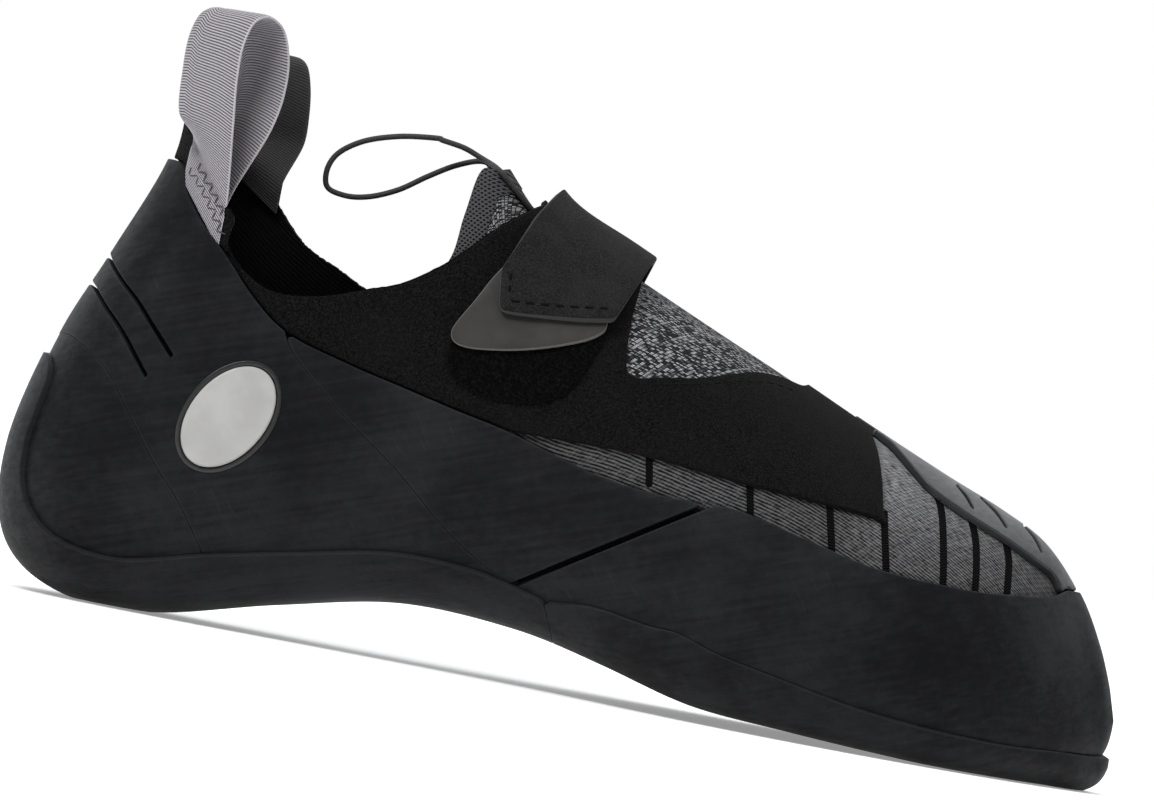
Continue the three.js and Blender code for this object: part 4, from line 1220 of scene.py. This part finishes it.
class Finish:
    """A material under construction. Values that don't vary are set on the shader itself."""

    def __init__(self, name, **fixed):
        self.material = bpy.data.materials.new(name)
        self.material.use_nodes = True
        self.tree = self.material.node_tree
        self.shader = self.tree.nodes["Principled BSDF"]
        for key, value in fixed.items():
            self.shader.inputs[key.replace("_", " ")].default_value = value
        self.place = self.node("TexCoord", out="Object")
        self.mm = self.turned((0, 0, 0), (1, 1, 1))

    def node(self, kind, inputs=None, out=0, **settings):
        return add_node(self.tree, kind, inputs, **settings)[out]

    def turned(self, rotation, scale):
        """The place in millimetres, turned and then scaled."""
        grown = self.node("Mapping", {"Vector": self.place, "Scale": (1 / MM, 1 / MM, 1 / MM)})
        first = self.node("Mapping", {"Vector": grown, "Rotation": rotation})
        return self.node("Mapping", {"Vector": first, "Scale": scale})

    def math(self, operation, *values):
        return self.node("Math", dict(enumerate(values)), operation=operation)

    def times(self, a, b):
        return self.math("MULTIPLY", a, b)

    def plus(self, a, b):
        return self.math("ADD", a, b)

    def noise(self, scale, vector=None, detail=3.0, roughness=0.5):
        return self.node("TexNoise", {
            "Vector": vector or self.mm, "Scale": scale, "Detail": detail, "Roughness": roughness,
        })

    def level(self, value, low, high, to_low=0.0, to_high=1.0):
        return ramp(self.tree, value, low, high, to_low, to_high)

    def mix(self, share, a, b):
        a, b = ((*c, 1) if isinstance(c, tuple) else c for c in (a, b))
        return self.node("Mix", {0: share, 6: a, 7: b}, out=2, data_type="RGBA")

    def value(self, name):
        return self.node("Attribute", out="Fac", attribute_name=name)

    def near_edge(self, low, high):
        """1 at the piece's edge, falling to 0 between two distances from it."""
        return self.math("SUBTRACT", 1.0, self.level(self.value("edge"), low, high))

    def grey(self, value):
        return self.node("CombineColor", {0: value, 1: value, 2: value})

    def cloth(self):
        """The place on the cloth in millimetres, along it and across."""
        flat = self.node("Attribute", out="Vector", attribute_name="flat")
        return add_node(self.tree, "SeparateXYZ", {0: flat})[:2]

    def colour(self, socket):
        self.tree.links.new(socket, self.shader.inputs["Base Color"])

    def rough(self, socket):
        self.tree.links.new(socket, self.shader.inputs["Roughness"])

    def bump(self, height, depth, strength=1.0):
        """Relief of depth millimetres."""
        bump = self.node("Bump", {"Height": height, "Distance": depth * MM, "Strength": strength})
        self.tree.links.new(bump, self.shader.inputs["Normal"])


def rubber(name="rubber", shine=0.07, low_rough=0.62, high_rough=0.46):
    f = Finish(name, Specular_IOR_Level=shine)
    cloud = f.noise(0.03, detail=4)
    streak = f.noise(1.0, f.turned((0, 0.35, 0), (0.035, 0.3, 0.9)), 4)
    scratch = f.noise(1.0, f.turned((0, -0.95, 0), (0.09, 0.8, 3.2)), 2)
    grain = f.noise(2.4, detail=2)
    scuff_and_highlight = f.value("scuff_and_highlight")
    tone = f.plus(f.times(cloud, 0.55), f.times(streak, 0.25))
    tone = f.plus(tone, f.times(f.noise(0.5, detail=5, roughness=0.65), 0.2))
    base = f.mix(f.level(tone, 0.38, 0.64), (0.004, 0.0042, 0.0048), (0.0125, 0.013, 0.0146))
    dusty = f.times(f.level(scratch, 0.6, 0.78), f.level(cloud, 0.48, 0.62))
    base = f.mix(f.times(dusty, 0.35), base, (0.03, 0.031, 0.033))
    # Edges are lighter: partly wear on the lips, partly a painted highlight along the rounded edges
    rim = f.near_edge(0.05, 0.55)
    base = f.mix(f.times(rim, 0.35), base, (0.022, 0.023, 0.025))
    # Lighter rubber at the toe: partly scuffs, partly a painted highlight along the toe's front
    scuff_and_highlight_amount = f.times(scuff_and_highlight, f.level(f.noise(0.16, detail=6, roughness=0.6), 0.3, 0.75))
    base = f.mix(f.times(scuff_and_highlight_amount, 0.6), base, (0.036, 0.037, 0.038))
    f.colour(base)
    f.rough(f.level(tone, 0.35, 0.65, low_rough, high_rough))
    height = f.plus(f.times(grain, 0.25), f.times(streak, 0.6))
    f.bump(f.plus(height, f.times(scratch, 0.3)), 0.16, 0.8)
    return f.material


def suede():
    f = Finish("suede", Roughness=0.95, Specular_IOR_Level=0.04, Sheen_Weight=0.015, Sheen_Roughness=0.4)
    nap = f.noise(2.6, detail=4, roughness=0.7)
    patch = f.noise(0.08, detail=3)
    base = f.mix(f.level(nap, 0.4, 0.64), (0.001, 0.001, 0.0012), (0.0105, 0.0105, 0.011))
    base = f.mix(f.times(f.level(patch, 0.4, 0.65), 0.25), base, (0.008, 0.0079, 0.0079))
    f.colour(base)
    f.bump(nap, 0.4, 1.0)
    return f.material


def melange(f, u, v):
    """Flecks in slanted rows: how light each place is, and its height."""
    row = f.math("DIVIDE", v, 0.45)
    number = f.math("FLOOR", row)
    shifted = f.plus(f.math("DIVIDE", u, 1.0), f.times(number, 0.37))
    slant = f.plus(shifted, f.times(f.math("FRACT", row), 0.35))
    cell = f.node("CombineXYZ", {0: f.math("FLOOR", slant), 1: number})
    chance = f.node("TexWhiteNoise", {"Vector": cell}, out="Value", noise_dimensions="2D")
    x = f.math("ABSOLUTE", f.math("SUBTRACT", f.math("FRACT", slant), 0.5))
    y = f.math("ABSOLUTE", f.math("SUBTRACT", f.math("FRACT", row), 0.5))
    shape = f.times(f.level(x, 0.5, 0.3), f.level(y, 0.48, 0.2))
    return chance, shape


def knit():
    f = Finish("knit", Roughness=0.8, Specular_IOR_Level=0.06)
    u, v = f.cloth()
    chance, shape = melange(f, u, v)
    fleck = f.mix(f.level(chance, 0.25, 1.0), (0.02, 0.02, 0.021), (0.44, 0.44, 0.45))
    window = f.mix(shape, (0.005, 0.005, 0.006), fleck)
    stretched = f.node("CombineXYZ", {0: f.times(u, 0.5), 1: f.times(v, 2.2)})
    streak = f.noise(1.0, stretched, 2)
    rib = f.math("SINE", f.times(v, 2 * math.pi / 0.86))
    twill = f.math("SINE", f.plus(f.times(u, 6.5), f.times(v, 5.0)))
    light_toe_and_sheen = f.value("light_toe_and_sheen")
    plain = f.math("SUBTRACT", 1.0, light_toe_and_sheen)
    weave = f.plus(f.times(f.times(rib, 0.55), plain),
                   f.times(twill, 0.12))
    light = f.plus(f.times(streak, 1.1), f.times(weave, 0.4))
    band_colour = f.mix(f.level(light, 0.3, 0.85), (0.005, 0.005, 0.0055), (0.092, 0.0915, 0.093))
    toe_colour = f.mix(f.level(light, 0.3, 0.85), (0.02, 0.02, 0.0205), (0.26, 0.259, 0.262))
    # At the toe the knit turns to the lighter toe colour: partly lighter yarn, partly a painted sheen that
    # grows towards the top
    band_colour = f.mix(light_toe_and_sheen, band_colour, toe_colour)
    zone = f.value("zone")
    base = f.mix(zone, band_colour, window)
    # Inner faces are near-black. On the upper, this also paints the covered knit near-black as painted
    # shade in the groove and the slits
    base = f.mix(f.value("inside"), base, (0.002, 0.002, 0.0023))
    f.colour(base)
    height = f.mix(zone, f.grey(light),
                   f.grey(shape))
    f.bump(height, 0.3, 0.8)
    return f.material


def elastic():
    f = Finish("ribbed_elastic", Roughness=0.85, Specular_IOR_Level=0.06)
    u, v = f.cloth()
    across = f.math("SINE", f.times(v, 2 * math.pi / 1.15))
    along = f.math("SINE", f.times(u, 2 * math.pi / 1.0))
    grid = f.math("MAXIMUM", across, along)
    f.colour(f.mix(f.level(grid, -0.5, 0.6), (0.003, 0.003, 0.0033), (0.06, 0.0575, 0.061)))
    f.bump(grid, 0.25, 0.8)
    return f.material


def dark_knit():
    f = Finish("dark_knit", Roughness=0.9, Specular_IOR_Level=0.04)
    u, v = f.cloth()
    rib = f.math("SINE", f.times(v, 2 * math.pi / 0.7))
    f.colour(f.mix(f.level(rib, -0.8, 0.9), (0.001, 0.001, 0.0012), (0.0045, 0.0045, 0.0048)))
    f.bump(rib, 0.12, 0.7)
    return f.material


def lining():
    f = Finish("lining", Roughness=0.95, Specular_IOR_Level=0.03)
    loops = f.noise(1.6, detail=4, roughness=0.7)
    f.colour(f.mix(f.level(loops, 0.35, 0.7), (0.0015, 0.0015, 0.0018), (0.006, 0.006, 0.0065)))
    f.bump(loops, 0.3, 0.9)
    return f.material


def microfibre():
    f = Finish("microfibre", Roughness=0.9, Specular_IOR_Level=0.05, Sheen_Weight=0.02)
    nap = f.noise(3.0, detail=4, roughness=0.75)
    cloud = f.noise(0.12, detail=3)
    base = f.mix(f.level(nap, 0.4, 0.64), (0.004, 0.004, 0.0043), (0.021, 0.0208, 0.021))
    base = f.mix(f.times(f.level(cloud, 0.4, 0.66), 0.3), base, (0.02, 0.02, 0.0202))
    cut = f.near_edge(0.02, 0.14)
    base = f.mix(f.times(cut, 0.4), base, (0.09, 0.0885, 0.087))
    f.colour(base)
    f.bump(nap, 0.2, 0.8)
    return f.material


def tab():
    f = Finish("tab", Specular_IOR_Level=0.15)
    grain = f.noise(1.8, detail=3)
    cloud = f.noise(0.1, detail=3)
    base = f.mix(f.level(cloud, 0.35, 0.7), (0.02, 0.019, 0.0178), (0.03, 0.0285, 0.0265))
    cut = f.near_edge(0.02, 0.3)
    f.colour(f.mix(f.times(cut, 0.5), base, (0.2, 0.19, 0.18)))
    f.rough(f.level(grain, 0.3, 0.7, 0.5, 0.62))
    f.bump(grain, 0.06, 0.5)
    return f.material


def pile():
    f = Finish("pile", Roughness=1.0, Specular_IOR_Level=0.03, Sheen_Weight=0.01)
    fuzz = f.noise(1.5, detail=5, roughness=0.75)
    f.colour(f.mix(f.level(fuzz, 0.45, 0.75), (0.001, 0.001, 0.0012), (0.01, 0.01, 0.0105)))
    f.bump(fuzz, 0.5, 1.0)
    return f.material


def grosgrain(name, low, high, edge_colour):
    f = Finish(name, Roughness=0.7, Specular_IOR_Level=0.3, Sheen_Weight=0.1)
    u, _ = f.cloth()
    # The troughs between the ribs are painted darker: painted shade between the ribs
    rib = f.math("COSINE", f.times(u, 2 * math.pi / RIB_PITCH))
    thread = f.noise(1.0, f.turned((0, 0, 0), (2.0, 2.0, 2.0)), 3)
    tone = f.plus(f.times(rib, 0.8), f.times(thread, 0.5))
    base = f.mix(f.level(tone, -0.5, 0.9), low, high)
    selvedge = f.near_edge(0.15, 0.45)
    base = f.mix(f.times(selvedge, 0.8), base, edge_colour)
    f.colour(base)
    f.bump(thread, 0.08, 0.5)
    return f.material


def badge():
    f = Finish("badge", Specular_IOR_Level=0.4)
    grain = f.noise(2.2, detail=2)
    cloud = f.noise(0.15, detail=2)
    f.colour(f.mix(f.level(cloud, 0.3, 0.7), (0.3, 0.295, 0.285), (0.34, 0.335, 0.325)))
    f.rough(f.level(grain, 0.3, 0.7, 0.38, 0.5))
    f.bump(grain, 0.03, 0.4)
    return f.material


def rim_black():
    f = Finish("rim_black", Roughness=0.35)
    grain = f.noise(2.0, detail=2)
    f.colour(f.mix(grain, (0.003, 0.003, 0.003), (0.008, 0.008, 0.008)))
    f.bump(grain, 0.03, 0.4)
    return f.material


def thread(name, low, high):
    f = Finish(name, Roughness=0.8, Specular_IOR_Level=0.06)
    twist = f.noise(4.0, detail=2)
    f.colour(f.mix(f.level(twist, 0.3, 0.7), low, high))
    f.bump(twist, 0.08, 0.6)
    return f.material


BY_SLOT = {
    "rubber": rubber(), "suede": suede(), "knit": knit(), "lining": lining(),
    "microfibre": microfibre(), "tab": tab(), "pile": pile(),
    "grey_tape": grosgrain("grey_tape", (0.045, 0.041, 0.047), (0.33, 0.31, 0.335), (0.38, 0.36, 0.37)),
    "black_tape": grosgrain("black_tape", (0.004, 0.004, 0.004), (0.018, 0.017, 0.019),
                            (0.02, 0.02, 0.021)),
    "badge": badge(),
}
BY_PIECE = {
    "toe_patch_look": rubber("toe_rubber", 0.45, 0.5, 0.36), "tongue_elastic": elastic(),
    "side_badge_rim": rim_black(), "knit_bars_lateral": dark_knit(),
    "window_stitches_lateral": thread("black_thread", (0.001, 0.001, 0.001), (0.006, 0.006, 0.0062)),
    "strap_stitches": thread("grey_thread", (0.0008, 0.0008, 0.0008), (0.004, 0.004, 0.0042)),
    "loop_zigzag_low": thread("dark_thread", (0.02, 0.019, 0.021), (0.09, 0.086, 0.092)),
}
SAME = {
    "knit_bars_medial": "knit_bars_lateral", "window_stitches_medial": "window_stitches_lateral",
    "collar_stitches": "window_stitches_lateral", "strap_end_stitches": "strap_stitches",
    "loop_zigzag_high": "loop_zigzag_low",
}
for piece, slot, nodes in PIECES:
    name = SAME.get(piece.name, piece.name)
    piece.data.materials.append(BY_PIECE.get(name, BY_SLOT[slot]))
    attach(piece, "root")
    if nodes:
        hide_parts(*nodes)


# Camera, floor and light
ROLL = math.radians(10.97)
VIEW_CENTRE = Vector((93.9, 0, 65.5)) * MM
VIEW_WIDTH = 261.4 * MM
DISTANCE = 2.2

camera = bpy.data.objects.new("camera", bpy.data.cameras.new("camera"))
bpy.context.scene.collection.objects.link(camera)
camera.data.sensor_width = 36
camera.data.lens = 36 * DISTANCE / VIEW_WIDTH
camera.data.clip_end = 100
right = Vector((math.cos(ROLL), 0, math.sin(ROLL)))
upward = Vector((-math.sin(ROLL), 0, math.cos(ROLL)))
turn = Matrix((right, upward, Vector((0, -1, 0)))).transposed()
camera.matrix_world = Matrix.Translation(VIEW_CENTRE - Vector((0, DISTANCE, 0))) @ turn.to_4x4()
bpy.context.scene.camera = camera
bpy.context.scene.view_settings.view_transform = "Standard"

floor_mesh = bpy.data.meshes.new("floor")
floor_mesh.from_pydata([(-5, -5, 0), (5, -5, 0), (5, 5, 0), (-5, 5, 0)], [], [(0, 1, 2, 3)])
floor = bpy.data.objects.new("floor", floor_mesh)
floor.location.z = -0.0002
bpy.context.scene.collection.objects.link(floor)
pale = Finish("floor", Roughness=0.9, Specular_IOR_Level=0.1, Emission_Color=(1, 1, 1, 1),
              Emission_Strength=0.28)
pale.colour(pale.mix(pale.noise(0.01), (0.9, 0.9, 0.9), (0.93, 0.93, 0.93)))
floor.data.materials.append(pale.material)

world = bpy.data.worlds.new("world")
world.use_nodes = True
tree = world.node_tree
tree.nodes["Background"].inputs["Color"].default_value = (1, 1, 1, 1)


way = add_node(tree, "SeparateXYZ", {0: add_node(tree, "TexCoord")["Generated"]})
overhead = ramp(tree, way[2], 0.45, 0.85, 0.0, 1.35)
behind = ramp(tree, way[1], 0.1, 0.8, 0.0, 0.9)
glow = add_node(tree, "Math", {0: overhead, 1: behind}, operation="ADD")[0]
glow = add_node(tree, "Math", {0: glow, 1: 0.1}, operation="ADD")[0]
around = add_node(tree, "Background", {"Color": (0.96, 0.98, 1, 1), "Strength": glow})
path = add_node(tree, "LightPath")
choice = add_node(tree, "MixShader", {0: path["Is Camera Ray"], 1: around[0]})
tree.links.new(tree.nodes["Background"].outputs[0], tree.nodes["Mix Shader"].inputs[2])
tree.links.new(choice[0], tree.nodes["World Output"].inputs[0])
bpy.context.scene.world = world


def area_light(name, place, target, size, power):
    light = bpy.data.lights.new(name, "AREA")
    light.shape = "RECTANGLE"
    light.size, light.size_y = size
    light.energy = power
    lamp = bpy.data.objects.new(name, light)
    lamp.location = place
    lamp.rotation_euler = (Vector(target) - Vector(place)).to_track_quat("-Z", "Y").to_euler()
    bpy.context.scene.collection.objects.link(lamp)
    return lamp


area_light("key_light", (-0.5, -1.0, 1.2), (0.05, 0, 0.06), (0.6, 0.4), 19)
area_light("toe_light", (0.9, -0.6, 1.0), (0.15, 0, 0.05), (0.4, 0.4), 1)
